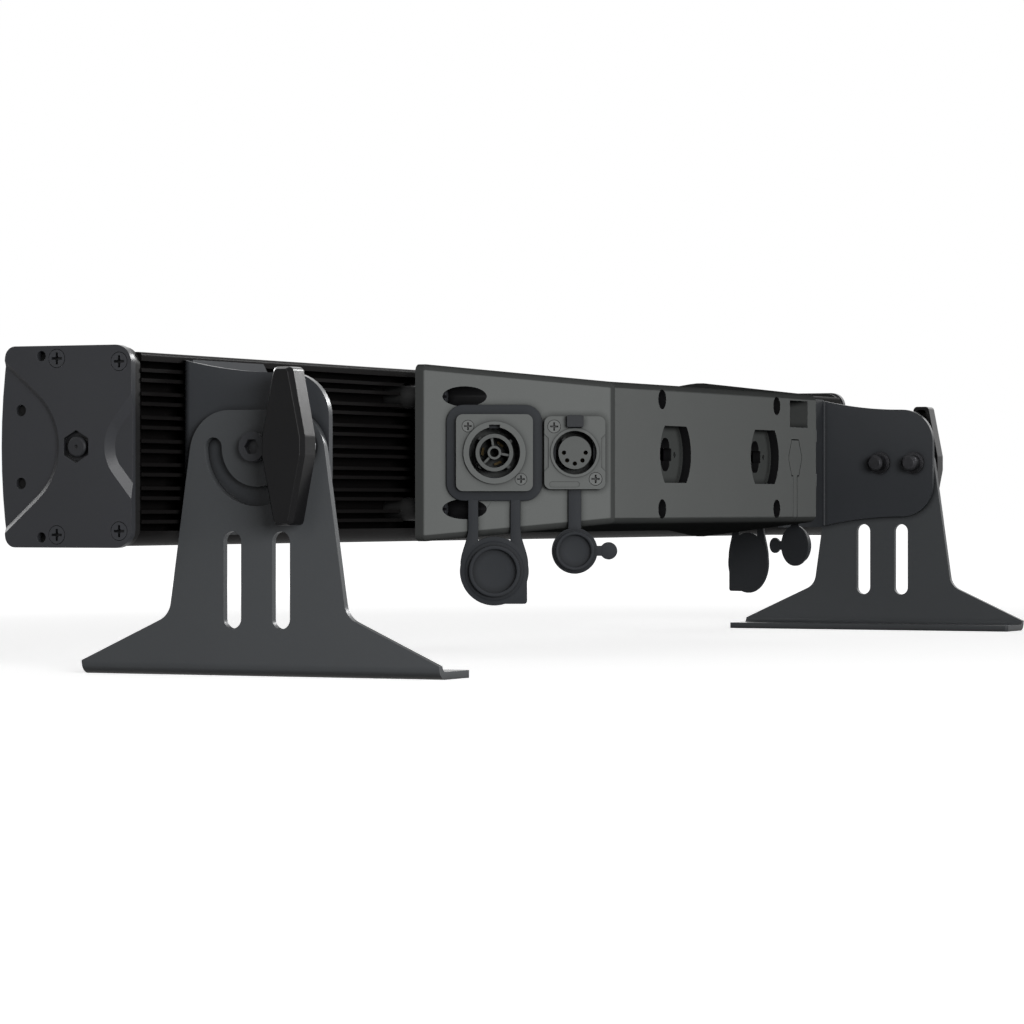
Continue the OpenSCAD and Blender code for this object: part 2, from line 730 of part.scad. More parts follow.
module at_wells() {
    for (x = well_places()) both_heights(well_rise / 2) translate([x, 0, 0]) children();
}
module lock_outline(grow) {
    intersection() {
        circle(d = lock_d + 2 * grow);
        square([lock_d + 4 * grow, lock_h + 2 * grow], center = true);
    }
}
module at_locks() {
    for (s = [-1, 1]) translate([s * lock_span / 2, house_back, 0]) children();
}
// Outline of the collar round the driver
module collar_outline(grow) {
    w = collar_half + grow;
    h = collar_half_h + grow;
    translate([-w, -h]) square([2 * w, 2 * h]);
}
module plug_outline(grow) {
    w = plug_w / 2 + grow;
    h = plug_h / 2 + grow;
    polygon([[w, -h * 0.1], [w, h * 0.1], [w * 0.55, h], [-w * 0.55, h], [-w, h * 0.1], [-w, -h * 0.1],
        [-w * 0.55, -h], [w * 0.55, -h]]);
}
// The plug's strap runs down the panel and round its lower edge
module plug_strap(grow) {
    translate([plug_x - plug_strap_w / 2 - grow, house_back - cut, -mid_half_h - cut])
        cube([plug_strap_w + 2 * grow, strap_sink + grow + cut, mid_half_h - plug_h * 0.4 + cut]);
    translate([plug_x - plug_strap_w / 2 - grow, house_back - cut, -mid_half_h - house_r])
        cube([plug_strap_w + 2 * grow, 6 * strap_sink + grow + cut, house_r + strap_sink + grow]);
}
module connector_housing() {
    color([0.36, 0.365, 0.36]) from_axis() difference() {
        union() {
            difference() {
                house_form();
                difference() {
                    house_cavity();
                    at_wells() translate([0, house_back, 0]) rod_y(well_boss_d, house_d + 2 * cut);
                    translate([pocket_x - pocket_w / 2 - pocket_wall, house_back,
                        pocket_z - pocket_h / 2 - pocket_wall])
                        cube([pocket_w + 2 * pocket_wall, pocket_d + pocket_wall,
                            pocket_h + 2 * pocket_wall]);
                }
            }
            // Collar from inside the housing to the seal
            translate([0, rear_gap - seal_t, 0]) backwards(2 * rim_gap) difference() {
                collar_outline(0);
                collar_outline(-collar_t);
            }
        }
        at_wells() {
            translate([0, house_back - cut, 0]) rod_y(well_d, house_d - well_floor + cut);
            translate([0, house_back, 0]) rod_y(screw_d + 2 * screw_fit, house_d + cut);
        }
        at_locks() translate([0, house_wall + cut, 0]) backwards(house_wall + 2 * cut) lock_outline(0);
        translate([pocket_x - pocket_w / 2, house_back - cut, pocket_z - pocket_h / 2])
            cube([pocket_w, pocket_d + cut, pocket_h]);
        translate([plug_x, house_back + house_wall + cut, 0]) backwards(house_wall + 2 * cut)
            plug_outline(plug_gap);
        plug_strap(plug_gap);
        for (side = [-1, 1]) {
            on_panel(side, power_along) translate([0, 0, -2 * house_wall])
                cylinder(d = barrel_back + 2 * screw_fit, h = 3 * house_wall);
            on_panel(side, data_along) translate([0, 0, -2 * house_wall])
                cylinder(d = ring_back + 2 * screw_fit, h = 3 * house_wall);
        }
    }
}
module housing_seal() {
    color([0.09, 0.09, 0.09]) from_axis() translate([0, rear_gap, 0]) backwards(seal_t) difference() {
        collar_outline(collar_t / 4);
        collar_outline(-collar_t * 1.25);
    }
}
// Round posts that carry the housing over the fins
module housing_posts() {
    color([0.2, 0.2, 0.2]) from_axis() at_wells() translate([0, house_rim, 0]) difference() {
        union() {
            rod_y(post_d, post_len);
            rod_y(screw_d, post_len + body_wall * 0.7);
        }
        translate([0, -cut, 0]) rod_y(screw_d + 2 * run_fit, post_bore + cut);
    }
}
module housing_screws() {
    color([0.2, 0.2, 0.2]) from_axis() at_wells()
        translate([0, house_rim - well_floor, 0]) rotate([90, 0, 0]) difference() {
            union() {
                cylinder(d = screw_head_d, h = screw_head_t);
                translate([0, 0, -well_floor - post_bore * 0.9])
                    cylinder(d = screw_d, h = well_floor + post_bore * 0.9 + cut);
            }
            translate([0, 0, screw_head_t]) cross_recess(screw_head_d);
        }
}
module driver() {
    w = 2 * (well_span / 2 - well_boss_d);
    h = 2 * (mid_half_h - 2 * house_wall);
    color([0.75, 0.76, 0.78]) from_axis() {
        translate([-w / 2, rear_gap - driver_d, -h / 2]) cube([w, driver_d, h]);
        for (s = [-1, 1]) translate([s * w / 2 - house_wall / 2, rear_gap - house_wall, -h / 4])
            cube([house_wall, house_wall, h / 2]);
    }
}

// Receptacle plate behind the wall: a shallow recess, a key slot and two pin holes
module lock_receptacles() {
    plate_t = house_wall * 1.2;
    sink = lock_depth - house_wall;
    color([0.24, 0.245, 0.245]) from_axis() at_locks()
        translate([0, house_wall + plate_t, 0]) difference() {
        backwards(plate_t) lock_outline(house_wall / 2);
        translate([0, -plate_t + sink, 0]) backwards(sink + cut) lock_outline(0);
        translate([0, cut, 0]) backwards(plate_t + 2 * cut) {
            rounded_box(key_w, key_h, key_w * 0.45);
            square([key_w * 1.42, key_h * 0.37], center = true);
        }
        for (s = [-1, 1]) translate([s * lock_d * 0.303, cut, 0]) backwards(plate_t + 2 * cut)
            circle(d = lock_d * 0.07);
    }
}
module service_plug() {
    color([0.3, 0.305, 0.305]) from_axis() intersection() {
        house_form();
        union() {
            translate([plug_x, house_back + house_wall, 0]) backwards(house_wall * 1.2) plug_outline(0);
            plug_strap(0);
        }
    }
}

// Sockets, drawn in the panel's frame

module power_socket() {
    top = power_face;
    translate([0, 0, gasket_t]) difference() {
        union() {
            linear_extrude(flange_t) rounded_box(power_flange, power_flange, power_flange * 0.09);
            cylinder(d = barrel_d, h = flange_t + barrel_rise);
            translate([0, 0, -gasket_t - socket_depth])
                cylinder(d = barrel_back, h = gasket_t + socket_depth + cut);
        }
        translate([0, 0, -gasket_t - socket_depth + socket_floor])
            cylinder(d = barrel_bore, h = top + socket_depth);
        // Key slot at the top of the barrel
        translate([-hub_d * 0.145, 0, -gasket_t])
            cube([hub_d * 0.29, barrel_bore / 2 + flange_t * 0.45, top + cut]);
        for (s = [-1, 1]) translate([-s * power_screw, s * power_screw, -gasket_t]) {
            cylinder(d = power_screw_d / 2 + 2 * screw_fit, h = top);
            translate([0, 0, gasket_t + flange_t * 0.4])
                cylinder(d = power_screw_d + 2 * screw_fit, h = flange_t);
        }
    }
}
module power_insert() {
    bottom = -socket_depth + socket_floor;
    top = gasket_t + flange_t * 0.8;
    tube_d = hub_d * 0.36;
    translate([0, 0, bottom]) {
        difference() {
            union() {
                cylinder(d = hub_d, h = top - bottom);
                // Locking lugs on the hub
                for (a = [35, 135, 225, 315]) rotate(a) translate([0, -hub_wall * 0.45, 0])
                    cube([hub_d / 2 + hub_wall * 0.7, hub_wall * 0.9, top - bottom - 2 * hub_wall]);
            }
            translate([0, 0, hub_wall]) cylinder(d = hub_d - 2 * hub_wall, h = top - bottom);
        }
        difference() {
            cylinder(d = tube_d, h = top - bottom);
            translate([0, 0, hub_wall]) cylinder(d = tube_d - hub_wall * 1.2, h = top - bottom);
        }
        for (a = [100, 225, 350]) rotate(a) translate([tube_d / 2 - cut / 2, -hub_wall * 0.3, 0])
            cube([(hub_d - tube_d) / 2 - hub_wall + cut, hub_wall * 0.6, top - bottom - hub_wall / 2]);
    }
}
module data_socket(latch) {
    top = data_face;
    translate([0, 0, data_gasket_t]) difference() {
        union() {
            linear_extrude(flange_t) rounded_box(data_w, data_h, data_w * 0.11);
            cylinder(d = ring_d, h = flange_t + ring_rise);
            translate([0, 0, -data_gasket_t - socket_depth])
                cylinder(d = ring_back, h = data_gasket_t + socket_depth + cut);
        }
        translate([0, 0, -data_gasket_t - socket_depth + socket_floor])
            cylinder(d = ring_bore, h = top + socket_depth);
        // Shallow side steps of the flange and the bare label field
        for (s = [-1, 1]) translate([s * data_w / 2, 0, flange_t - side_step])
            linear_extrude(side_step + cut) polygon([[0, data_h * 0.26],
                [-s * data_w * 0.07, data_h * 0.2], [-s * data_w * 0.07, -data_h * 0.2],
                [0, -data_h * 0.26], [s * data_w * 0.1, -data_h * 0.26],
                [s * data_w * 0.1, data_h * 0.26]]);
        translate([-data_w * 0.17, -data_h * 0.435, flange_t - side_step / 2]) linear_extrude(side_step)
            rounded_box(data_w * 0.5, data_h * 0.084, data_h * 0.04);
        for (s = [-1, 1]) translate([-s * data_screw.x, s * data_screw.y, -data_gasket_t]) {
            cylinder(d = data_screw_d / 2 + 2 * screw_fit, h = top);
            translate([0, 0, data_gasket_t + flange_t * 0.4])
                cylinder(d = data_screw_d + 2 * screw_fit, h = flange_t);
        }
        if (latch) translate([-latch_stem_w / 2 - slide_gap, latch_y - slide_gap, -cut])
            cube([latch_stem_w + 2 * slide_gap, latch_stem_h + 2 * slide_gap, flange_t + 2 * cut]);
    }
}

// Five contacts over the lower half of the insert
module contact_places() {
    for (a = [180:45:360]) rotate(a) translate([insert_d * 0.33, 0, 0]) children();
}
module data_in_insert_form() {
    bottom = -socket_depth + socket_floor;
    top = data_gasket_t + flange_t * 0.85;
    translate([0, 0, bottom]) difference() {
        union() {
            cylinder(d = insert_d, h = top - bottom);
            rotate(128) translate([0, -contact_d / 2, 0])
                cube([insert_d / 2 + contact_d * 0.4, contact_d, top - bottom - cap_plug_h]);
        }
        contact_places() translate([0, 0, top - bottom - insert_d * 0.6])
            cylinder(d = contact_d, h = insert_d);
    }
}
module data_out_insert_form() {
    bottom = -socket_depth + socket_floor;
    translate([0, 0, bottom]) {
        cylinder(d = ring_bore - 2 * screw_fit, h = flange_t);
        contact_places() cylinder(d = contact_d, h = socket_depth * 0.8);
    }
}
module latch_form() {
    pad = data_gasket_t + flange_t + latch_travel + slide_gap;
    translate([0, 0, pad]) linear_extrude(latch_pad_t) translate([0, latch_y + latch_h / 2])
        rounded_box(latch_w, latch_h, latch_h * 0.12);
    translate([-latch_stem_w / 2, latch_y, data_gasket_t + latch_travel + slide_gap / 2])
        cube([latch_stem_w, latch_stem_h, pad - data_gasket_t - latch_travel]);
}
module power_screw_form() {
    head = gasket_t + flange_t;
    for (s = [-1, 1]) translate([-s * power_screw, s * power_screw, 0])
        small_screw(power_screw_d, head, flange_t * 0.6);
}
module data_screw_form() {
    head = data_gasket_t + flange_t;
    for (s = [-1, 1]) translate([-s * data_screw.x, s * data_screw.y, 0])
        small_screw(data_screw_d, head, flange_t * 0.6);
}
module small_screw(d, top, head) {
    translate([0, 0, top]) difference() {
        union() {
            translate([0, 0, -head]) cylinder(d = d, h = head);
            translate([0, 0, -top]) cylinder(d = d / 2, h = top - head + cut);
        }
        cross_recess(d);
    }
}
module power_gasket() {
    linear_extrude(gasket_t) {
        difference() {
            rounded_box(gasket_side, gasket_side, gasket_side * 0.15);
            circle(d = barrel_back + 2 * screw_fit);
            for (s = [-1, 1]) translate([-s * power_screw, s * power_screw])
                circle(d = power_screw_d / 2 + 2 * screw_fit);
        }
        for (s = [-1, 1]) translate([s * leg_span / 2 - leg_w / 2, -power_drop / 2])
            square([leg_w, power_drop / 2 - gasket_side / 2 + cut]);
    }
}
module data_gasket() {
    linear_extrude(data_gasket_t) {
        difference() {
            rounded_box(data_w, data_h, data_w * 0.11);
            circle(d = ring_back + 2 * screw_fit);
            for (s = [-1, 1]) translate([-s * data_screw.x, s * data_screw.y])
                circle(d = data_screw_d / 2 + 2 * screw_fit);
        }
        translate([-data_strap_w / 2, -data_drop / 2])
            square([data_strap_w, data_drop / 2 - data_h / 2 + cut]);
    }
}
// Hanging cap of the power socket: two legs, a disc with one square corner, a plug ring
module power_cap() {
    disc = [0, -power_drop];
    disc_r = power_cap_d / 2;
    leg_in = leg_span / 2 - leg_w / 2;
    leg_out = leg_in + leg_w;
    corner_side = power_cap_d * 0.476;
    plug_d = barrel_bore - 2 * slide_gap;
    plug_bore = hub_d + hub_wall;
    translate([0, 0, slide_gap]) {
        linear_extrude(strap_t) {
            translate(disc) circle(d = power_cap_d);
            translate(disc + [0, -corner_side]) polygon(rounded([[0, 0], [corner_side, 0],
                [corner_side, corner_side], [0, corner_side]], [0, power_cap_d * 0.04, 0, 0]));
            for (s = [-1, 1]) polygon([[s * leg_in, -power_drop / 2], [s * leg_out, -power_drop / 2],
                [s * leg_out, disc.y + disc_r * 1.3], [s * disc_r * 0.95, disc.y + disc_r * 0.5],
                [s * disc_r * 0.98, disc.y], [s * leg_in, disc.y]]);
        }
        translate(disc) difference() {
            union() {
                cylinder(d = (plug_d + power_cap_d) / 2, h = strap_t + cap_step);
                cylinder(d = plug_d, h = strap_t + cap_plug_h);
            }
            translate([0, 0, strap_t]) cylinder(d = plug_bore, h = cap_plug_h + cut);
        }
    }
}
module data_cap() {
    disc = [0, -data_drop];
    tab_x = data_cap_d * 0.74;
    plug_d = ring_bore - 2 * slide_gap;
    plug_bore = insert_d + 2 * slide_gap;
    translate([0, 0, slide_gap]) {
        linear_extrude(strap_t) {
            translate(disc) circle(d = data_cap_d);
            translate([-data_strap_w / 2, -data_drop + data_cap_d * 0.3])
                square([data_strap_w, data_drop / 2 - data_cap_d * 0.3]);
            translate(disc + [tab_x, 0]) circle(d = data_cap_d * 0.38);
            translate(disc + [0, -data_cap_d * 0.11]) square([tab_x, data_cap_d * 0.22]);
        }
        translate(disc) difference() {
            cylinder(d = plug_d, h = strap_t + cap_plug_h);
            translate([0, 0, strap_t]) cylinder(d = plug_bore, h = cap_plug_h + cut);
        }
    }
}

module power_in_socket() {
    color(moulded) from_axis() on_panel(-1, power_along) power_socket();
}
module power_out_socket() {
    color(moulded) from_axis() on_panel(1, power_along) power_socket();
}
module power_in_insert() {
    color(moulded) from_axis() on_panel(-1, power_along) power_insert();
}
module power_out_insert() {
    color(moulded) from_axis() on_panel(1, power_along) power_insert();
}
module data_in_socket() {
    color(moulded) from_axis() on_panel(-1, data_along) data_socket(true);
}
module data_out_socket() {
    color(moulded) from_axis() on_panel(1, data_along) data_socket(false);
}
module data_in_insert() {
    color(moulded) from_axis() on_panel(-1, data_along) data_in_insert_form();
}
module data_out_insert() {
    color(moulded) from_axis() on_panel(1, data_along) data_out_insert_form();
}
module data_latch() {
    color(rubber) from_axis() on_panel(-1, data_along) latch_form();
}
module socket_screws() {
    color(moulded) from_axis() for (side = [-1, 1]) {
        on_panel(side, power_along) power_screw_form();
        on_panel(side, data_along) data_screw_form();
    }
}
module power_in_gasket() {
    color(rubber) from_axis() on_panel(-1, power_along) power_gasket();
}
module power_out_gasket() {
    color(rubber) from_axis() on_panel(1, power_along) power_gasket();
}
module data_in_gasket() {
    color(rubber) from_axis() on_panel(-1, data_along) data_gasket();
}
module data_out_gasket() {
    color(rubber) from_axis() on_panel(1, data_along) data_gasket();
}
module power_in_cap() {
    color(rubber) from_axis() on_panel(-1, power_along) power_cap();
}
module power_out_cap() {
    color(rubber) from_axis() on_panel(1, power_along) power_cap();
}
module data_in_cap() {
    color(rubber) from_axis() on_panel(-1, data_along) data_cap();
}
module data_out_cap() {
    color(rubber) from_axis() on_panel(1, data_along) data_cap();
}

// Ears: a plate beside the foot, folded onto the fins

module ear_outline() {
    run = rear_gap + ear_reach - ear_end_r;
    drop = ear_root - ear_waist;
    curve_r = (pow(run, 2) + pow(drop, 2)) / (2 * drop);
    steps = 16;
    top = [for (i = [0:steps]) let (x = run * (1 - i / steps))
        [x - ear_reach + ear_end_r, ear_waist + curve_r - sqrt(pow(curve_r, 2) - pow(x, 2))]];
    end = corner([0, ear_waist], [-ear_reach, ear_waist], [-ear_reach, 0], ear_end_r, 12);
    half = concat(top, [for (i = [1:len(end) - 1]) end[i]]);
    polygon(concat(half, [for (i = [len(half) - 1:-1:0]) [half[i].x, -half[i].y]]));
}
module ear() {
    difference() {
        intersection() {
            // The folded sheet, seen from above
            translate([0, 0, -ear_root]) linear_extrude(2 * ear_root)
                polygon(concat([[ear_x - ear_flange, rear_gap]],
                    [[ear_x - ear_flange, rear_gap - sheet_t]],
                    corner([ear_x - ear_flange, rear_gap - sheet_t], [ear_x - sheet_t, rear_gap - sheet_t],
                        [ear_x - sheet_t, -ear_reach], bend_r - sheet_t * 0.9, 6),
                    [[ear_x - sheet_t, -ear_reach - cut], [ear_x, -ear_reach - cut]],
                    corner([ear_x, -ear_reach], [ear_x, rear_gap], [ear_x - ear_flange, rear_gap],
                        bend_r, 8)));
            union() {
                translate([ear_x - 2 * bend_r, 0, 0]) along_x(2 * bend_r + cut) ear_outline();
                translate([0, rear_gap + cut, 0]) backwards(sheet_t + 2 * cut)
                    polygon([[ear_x - bend_r, ear_root], [ear_x - bend_r, -ear_root],
                        [ear_x - ear_flange + ear_cut, -ear_root],
                        [ear_x - ear_flange, -ear_root + ear_cut], [ear_x - ear_flange, ear_root - ear_cut],
                        [ear_x - ear_flange + ear_cut, ear_root]]);
            }
        }
        for (y = [0, -arc_r]) translate([ear_x - sheet_t - cut, y, 0])
            rod_x(nut_body_d + 2 * run_fit, sheet_t + 2 * cut);
        for (x = ear_screw_places()) if (x > 0) both_heights(ear_screw_z)
            translate([x, rear_gap - sheet_t - cut, 0]) {
                rod_y(screw_d + 2 * screw_fit, sheet_t + 2 * cut);
                rotate([-90, 0, 0])
                    cylinder(d1 = 2 * screw_d + 2 * cut, d2 = screw_d, h = screw_d / 2 + cut);
            }
    }
}
module ear_left() {
    color([0.2, 0.205, 0.21]) from_axis() mirror([1, 0, 0]) ear();
}
module ear_right() {
    color([0.2, 0.205, 0.21]) from_axis() ear();
}
module ear_screws() {
    color([0.2, 0.2, 0.2]) from_axis() for (x = ear_screw_places()) both_heights(ear_screw_z)
        translate([x, rear_gap - sheet_t, 0]) rotate([90, 0, 0]) difference() {
            union() {
                translate([0, 0, -screw_d / 2 + screw_fit])
                    cylinder(d1 = screw_d, d2 = 2 * screw_d - 2 * screw_fit, h = screw_d / 2 - screw_fit);
                translate([0, 0, -sheet_t - screw_bite])
                    cylinder(d = screw_d, h = sheet_t + screw_bite - screw_fit);
            }
            cross_recess(1.6 * screw_d);
        }
}
// Clinch nuts: a barrel with a closed round end behind the plate, and a collar on it
module ear_nuts() {
    collar = sheet_t * 0.4;
    end_t = nut_out * 0.2;
    color([0.17, 0.17, 0.18]) from_axis() both_ends() for (y = [0, -arc_r])
        translate([ear_x - sheet_t, y, 0]) difference() {
            union() {
                translate([nut_round - nut_out, 0, 0]) rod_x(nut_body_d, sheet_t + nut_out - nut_round);
                translate([-nut_out, 0, 0]) rotate([0, 90, 0])
                    cylinder(d1 = nut_body_d - 2 * nut_round, d2 = nut_body_d, h = nut_round);
                translate([-collar, 0, 0]) rod_x(nut_d, collar);
            }
            translate([end_t - nut_out, 0, 0]) rod_x(bolt_d + 2 * run_fit, sheet_t + nut_out + cut);
        }
}

// Feet: an upright with its slots, folded into the sole

module foot_outline() {
    waist = [foot_waist, -waist_drop];
    neck_slope = (foot_waist - foot_neck) / waist_drop;
    top_x = foot_neck - foot_top * neck_slope;
    half = concat(
        corner([0, foot_top], [top_x, foot_top], waist, foot_top_r, 12),
        corner([top_x, foot_top], waist, [foot_half, flare_h - tilt_h], foot_top_r / 2, 8),
        [[foot_half, flare_h - tilt_h], [foot_half, -tilt_h]]);
    polygon(concat(half, [for (i = [len(half) - 1:-1:0]) [-half[i].x, half[i].y]]));
}
module arc_slot() {
    difference() {
        circle(arc_r + arc_w / 2);
        circle(arc_r - arc_w / 2);
        translate([-2 * arc_r, 0]) square([4 * arc_r, 2 * arc_r]);
    }
    for (s = [-1, 1]) translate([s * arc_r, 0]) circle(d = arc_w);
}
module straight_slots() {
    for (s = [-1, 1]) translate([s * slot_span / 2, -slot_drop - slot_len / 2])
        rounded_box(slot_w, slot_len, slot_w * 0.499);
}
module foot() {
    difference() {
        intersection() {
            // The folded sheet, seen from the back
            translate([0, foot_half, 0]) backwards(2 * foot_half)
                polygon(concat([[foot_inner, foot_top + cut]],
                    corner([foot_inner, 0], [foot_inner, sheet_t - tilt_h],
                        [foot_outer - sole_w, sheet_t - tilt_h],
                        fold_r - sheet_t * 0.9, 6),
                    [[foot_outer - sole_w, sheet_t - tilt_h], [foot_outer - sole_w, -tilt_h]],
                    corner([foot_inner, -tilt_h], [foot_outer, -tilt_h], [foot_outer, 0], fold_r, 8),
                    [[foot_outer, foot_top + cut]]));
            union() {
                translate([foot_inner - fold_r, 0, 0]) along_x(sheet_t + fold_r + cut) foot_outline();
                translate([0, 0, -tilt_h]) linear_extrude(sheet_t + cut)
                    polygon(rounded([[foot_inner + cut - fold_r, foot_half],
                        [foot_inner + cut - fold_r, -foot_half],
                        [foot_outer - sole_w, -foot_half], [foot_outer - sole_w, foot_half]],
                        [0, 0, sole_r, sole_r]));
            }
        }
        translate([foot_inner - cut, 0, 0]) rod_x(bolt_d + 2 * run_fit, sheet_t + 2 * cut);
        translate([foot_inner - cut, 0, 0]) along_x(sheet_t + 2 * cut) {
            arc_slot();
            straight_slots();
        }
    }
}
module foot_left() {
    color([0.25, 0.255, 0.26]) from_axis() mirror([1, 0, 0]) foot();
}
module foot_right() {
    color([0.25, 0.255, 0.26]) from_axis() foot();
}
module pivot_screws() {
    inner = ear_x - sheet_t - bolt_out;
    head = foot_outer + slide_gap;
    color([0.24, 0.24, 0.25]) from_axis() both_ends() difference() {
        union() {
            translate([inner, 0, 0]) rod_x(bolt_d, head - inner + cut);
            translate([head, 0, 0]) rod_x(pivot_head_d, pivot_head_h);
        }
        translate([head + pivot_head_h * 0.35, 0, 0]) along_x(pivot_head_h)
            circle(d = pivot_head_d * 0.56, $fn = 6);
    }
}

// Wing knob on its stud

module knob_outline(inset, end_inset) {
    w = knob_w / 2 - inset;
    l = knob_len / 2 - end_inset;
    e = knob_end / 2 - inset;
    side = knob_len * 0.06;
    polygon(rounded([[e, l], [w, side], [w, -side], [e, -l], [-e, -l], [-w, -side], [-w, side], [-e, l]],
        [e * 0.5, w * 0.6, w * 0.6, e * 0.5, e * 0.5, w * 0.6, w * 0.6, e * 0.5], 4));
}
module knob() {
    back = knob_front - knob_t;
    hub_back = foot_outer + slide_gap + washer_t;
    translate([0, -arc_r, 0]) difference() {
        union() {
            difference() {
                union() {
                    translate([back, 0, 0]) along_x(knob_t * 0.8) knob_outline(0, 0);
                    hull() {
                        translate([back + knob_t * 0.75, 0, 0]) along_x(knob_t * 0.05) knob_outline(0, 0);
                        translate([knob_front - knob_t * 0.05, 0, 0]) along_x(knob_t * 0.05)
                            knob_outline(knob_w * 0.07, knob_w * 0.05);
                    }
                }
                translate([back - cut, 0, 0]) along_x(knob_t * 0.7 + cut)
                    knob_outline(knob_wall, knob_wall);
            }
            translate([hub_back, 0, 0]) rod_x(hub_od, knob_front - hub_back - knob_t * 0.2);
        }
        translate([hub_back - cut, 0, 0]) rod_x(bolt_d + 2 * run_fit, knob_grip + cut);
    }
}
module knob_stud() {
    inner = ear_x - sheet_t - bolt_out;
    outer = foot_outer + slide_gap + washer_t + knob_grip;
    translate([inner, -arc_r, 0]) rod_x(bolt_d, outer - inner);
}
module knob_washer() {
    translate([foot_outer + slide_gap, -arc_r, 0]) difference() {
        rod_x(washer_d, washer_t);
        translate([-cut, 0, 0]) rod_x(bolt_d + 2 * run_fit, washer_t + 2 * cut);
    }
}
module knob_left() {
    color([0.13, 0.13, 0.13]) from_axis() mirror([1, 0, 0]) knob();
}
module knob_right() {
    color([0.13, 0.13, 0.13]) from_axis() knob();
}
module knob_stud_left() {
    color([0.2, 0.2, 0.21]) from_axis() mirror([1, 0, 0]) knob_stud();
}
module knob_stud_right() {
    color([0.2, 0.2, 0.21]) from_axis() knob_stud();
}
module knob_washer_left() {
    color([0.6, 0.6, 0.6]) from_axis() mirror([1, 0, 0]) knob_washer();
}
module knob_washer_right() {
    color([0.6, 0.6, 0.6]) from_axis() knob_washer();
}

bar_body();
end_frames();
end_cap_left();
end_cap_right();
cap_screws();
vent_plugs();
front_bezel();
front_glass();
glass_seal();
lens_tray();
lenses();
led_board();
leds();
connector_housing();
housing_seal();
housing_posts();
housing_screws();
driver();
lock_receptacles();
service_plug();
power_in_socket();
power_out_socket();
power_in_insert();
power_out_insert();
data_in_socket();
data_out_socket();
data_in_insert();
data_out_insert();
data_latch();
socket_screws();
power_in_gasket();
power_out_gasket();
data_in_gasket();
data_out_gasket();
power_in_cap();
power_out_cap();
data_in_cap();
data_out_cap();
ear_left();
ear_right();
ear_screws();
ear_nuts();
pivot_screws();
foot_left();
foot_right();
knob_left();
knob_right();
knob_stud_left();
knob_stud_right();
knob_washer_left();
knob_washer_right();
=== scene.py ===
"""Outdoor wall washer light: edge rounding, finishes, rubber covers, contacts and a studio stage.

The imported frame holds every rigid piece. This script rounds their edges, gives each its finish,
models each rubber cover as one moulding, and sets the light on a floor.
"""

import json
import math

import bmesh
import bpy
from mathutils import Matrix, Vector


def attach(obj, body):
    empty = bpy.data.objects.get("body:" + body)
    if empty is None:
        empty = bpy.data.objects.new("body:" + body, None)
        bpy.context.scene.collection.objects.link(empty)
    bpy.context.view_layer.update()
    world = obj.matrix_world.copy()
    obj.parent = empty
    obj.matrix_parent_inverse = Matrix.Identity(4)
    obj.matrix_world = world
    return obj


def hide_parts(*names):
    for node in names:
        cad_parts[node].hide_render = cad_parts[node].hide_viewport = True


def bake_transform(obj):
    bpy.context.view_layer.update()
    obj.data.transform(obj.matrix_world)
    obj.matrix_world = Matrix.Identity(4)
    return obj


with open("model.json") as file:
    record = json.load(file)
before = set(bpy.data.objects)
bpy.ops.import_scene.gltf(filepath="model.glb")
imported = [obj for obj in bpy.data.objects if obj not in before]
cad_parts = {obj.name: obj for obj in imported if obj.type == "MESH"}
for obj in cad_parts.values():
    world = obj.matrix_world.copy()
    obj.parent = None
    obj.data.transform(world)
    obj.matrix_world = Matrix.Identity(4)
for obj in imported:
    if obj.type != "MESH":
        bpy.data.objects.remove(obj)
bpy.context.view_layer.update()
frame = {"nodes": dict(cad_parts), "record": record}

bl_info = {
    "name": "Outdoor wall washer light",
    "version": (1, 0, 0),
    "blender": (4, 5, 0),
    "location": "3D View > Sidebar > Wall washer",
    "description": "Finishes a linear wall washer light and sets it on a pale studio floor",
    "category": "Object",
}

MM = 0.001
NODES = frame["nodes"]
MOUNTS = {mount["name"]: mount for mount in frame["record"]["mounts"]}

# Millimetres from a slanted panel out to the mount of its socket
SOCKET_MOUNT_OUT = 3.0
# Millimetres that span one housing screw and one receptacle, to tell the solids of a node apart
SCREW_SPAN, RECEPTACLE_SPAN = 9, 40
# Half sizes in millimetres of the screw wells, of the receptacles' bores and of their recesses
WELL_HALF, BORE_HALF, RECESS_HALF = 4.6, 9, (17.7, 12.7)
# Largest share of a bore's direction in the normals of its walls, and one that takes floors as well
WALLS_ONLY, WITH_FLOORS = 0.6, 2
# Share of the moulded edges' rounding that screws, nuts and washers get
SMALL_EDGE = 0.6

# Painted top sheen: where its clear coat begins, how fast it rises with the turn away and upwards,
# and its roughness
GLOSS_FROM, GLOSS_RISE, GLOSS_UP, GLOSS_ROUGHNESS = 0.52, 4.0, 3.0, 0.2
# How fast painted shade darkens the housing's rims and the crevices, and the share of colour left
# there. A crevice is CREVICE_WIDTH millimetres wide at most.
RIM_SHADE_RISE, RIM_SHADE_SHARE = 24.0, 0.38
CREVICE_SHADE_RISE, CREVICE_SHADE_SHARE, CREVICE_WIDTH = 1.3, 0.12, 3

# Camera: place in metres, turn in degrees, lens and sensor in millimetres, shift in picture widths
CAMERA_PLACE, CAMERA_TURN = (-1.75726, -0.77943, 0.06563), -64.795
CAMERA_LENS, CAMERA_SENSOR, CAMERA_SHIFT = 147.435, 36, -6.76 / 1024


def tone(red, green, blue):
    """Linear colour of the given 0 to 255 display values."""
    return tuple(
        (c / 255 / 12.92) if c / 255 <= 0.04045 else ((c / 255 + 0.055) / 1.055) ** 2.4
        for c in (red, green, blue)
    )


def colour_of(name, description, display):
    return bpy.props.FloatVectorProperty(
        name=name, description=description, subtype="COLOR", min=0, max=1, default=tone(*display)
    )


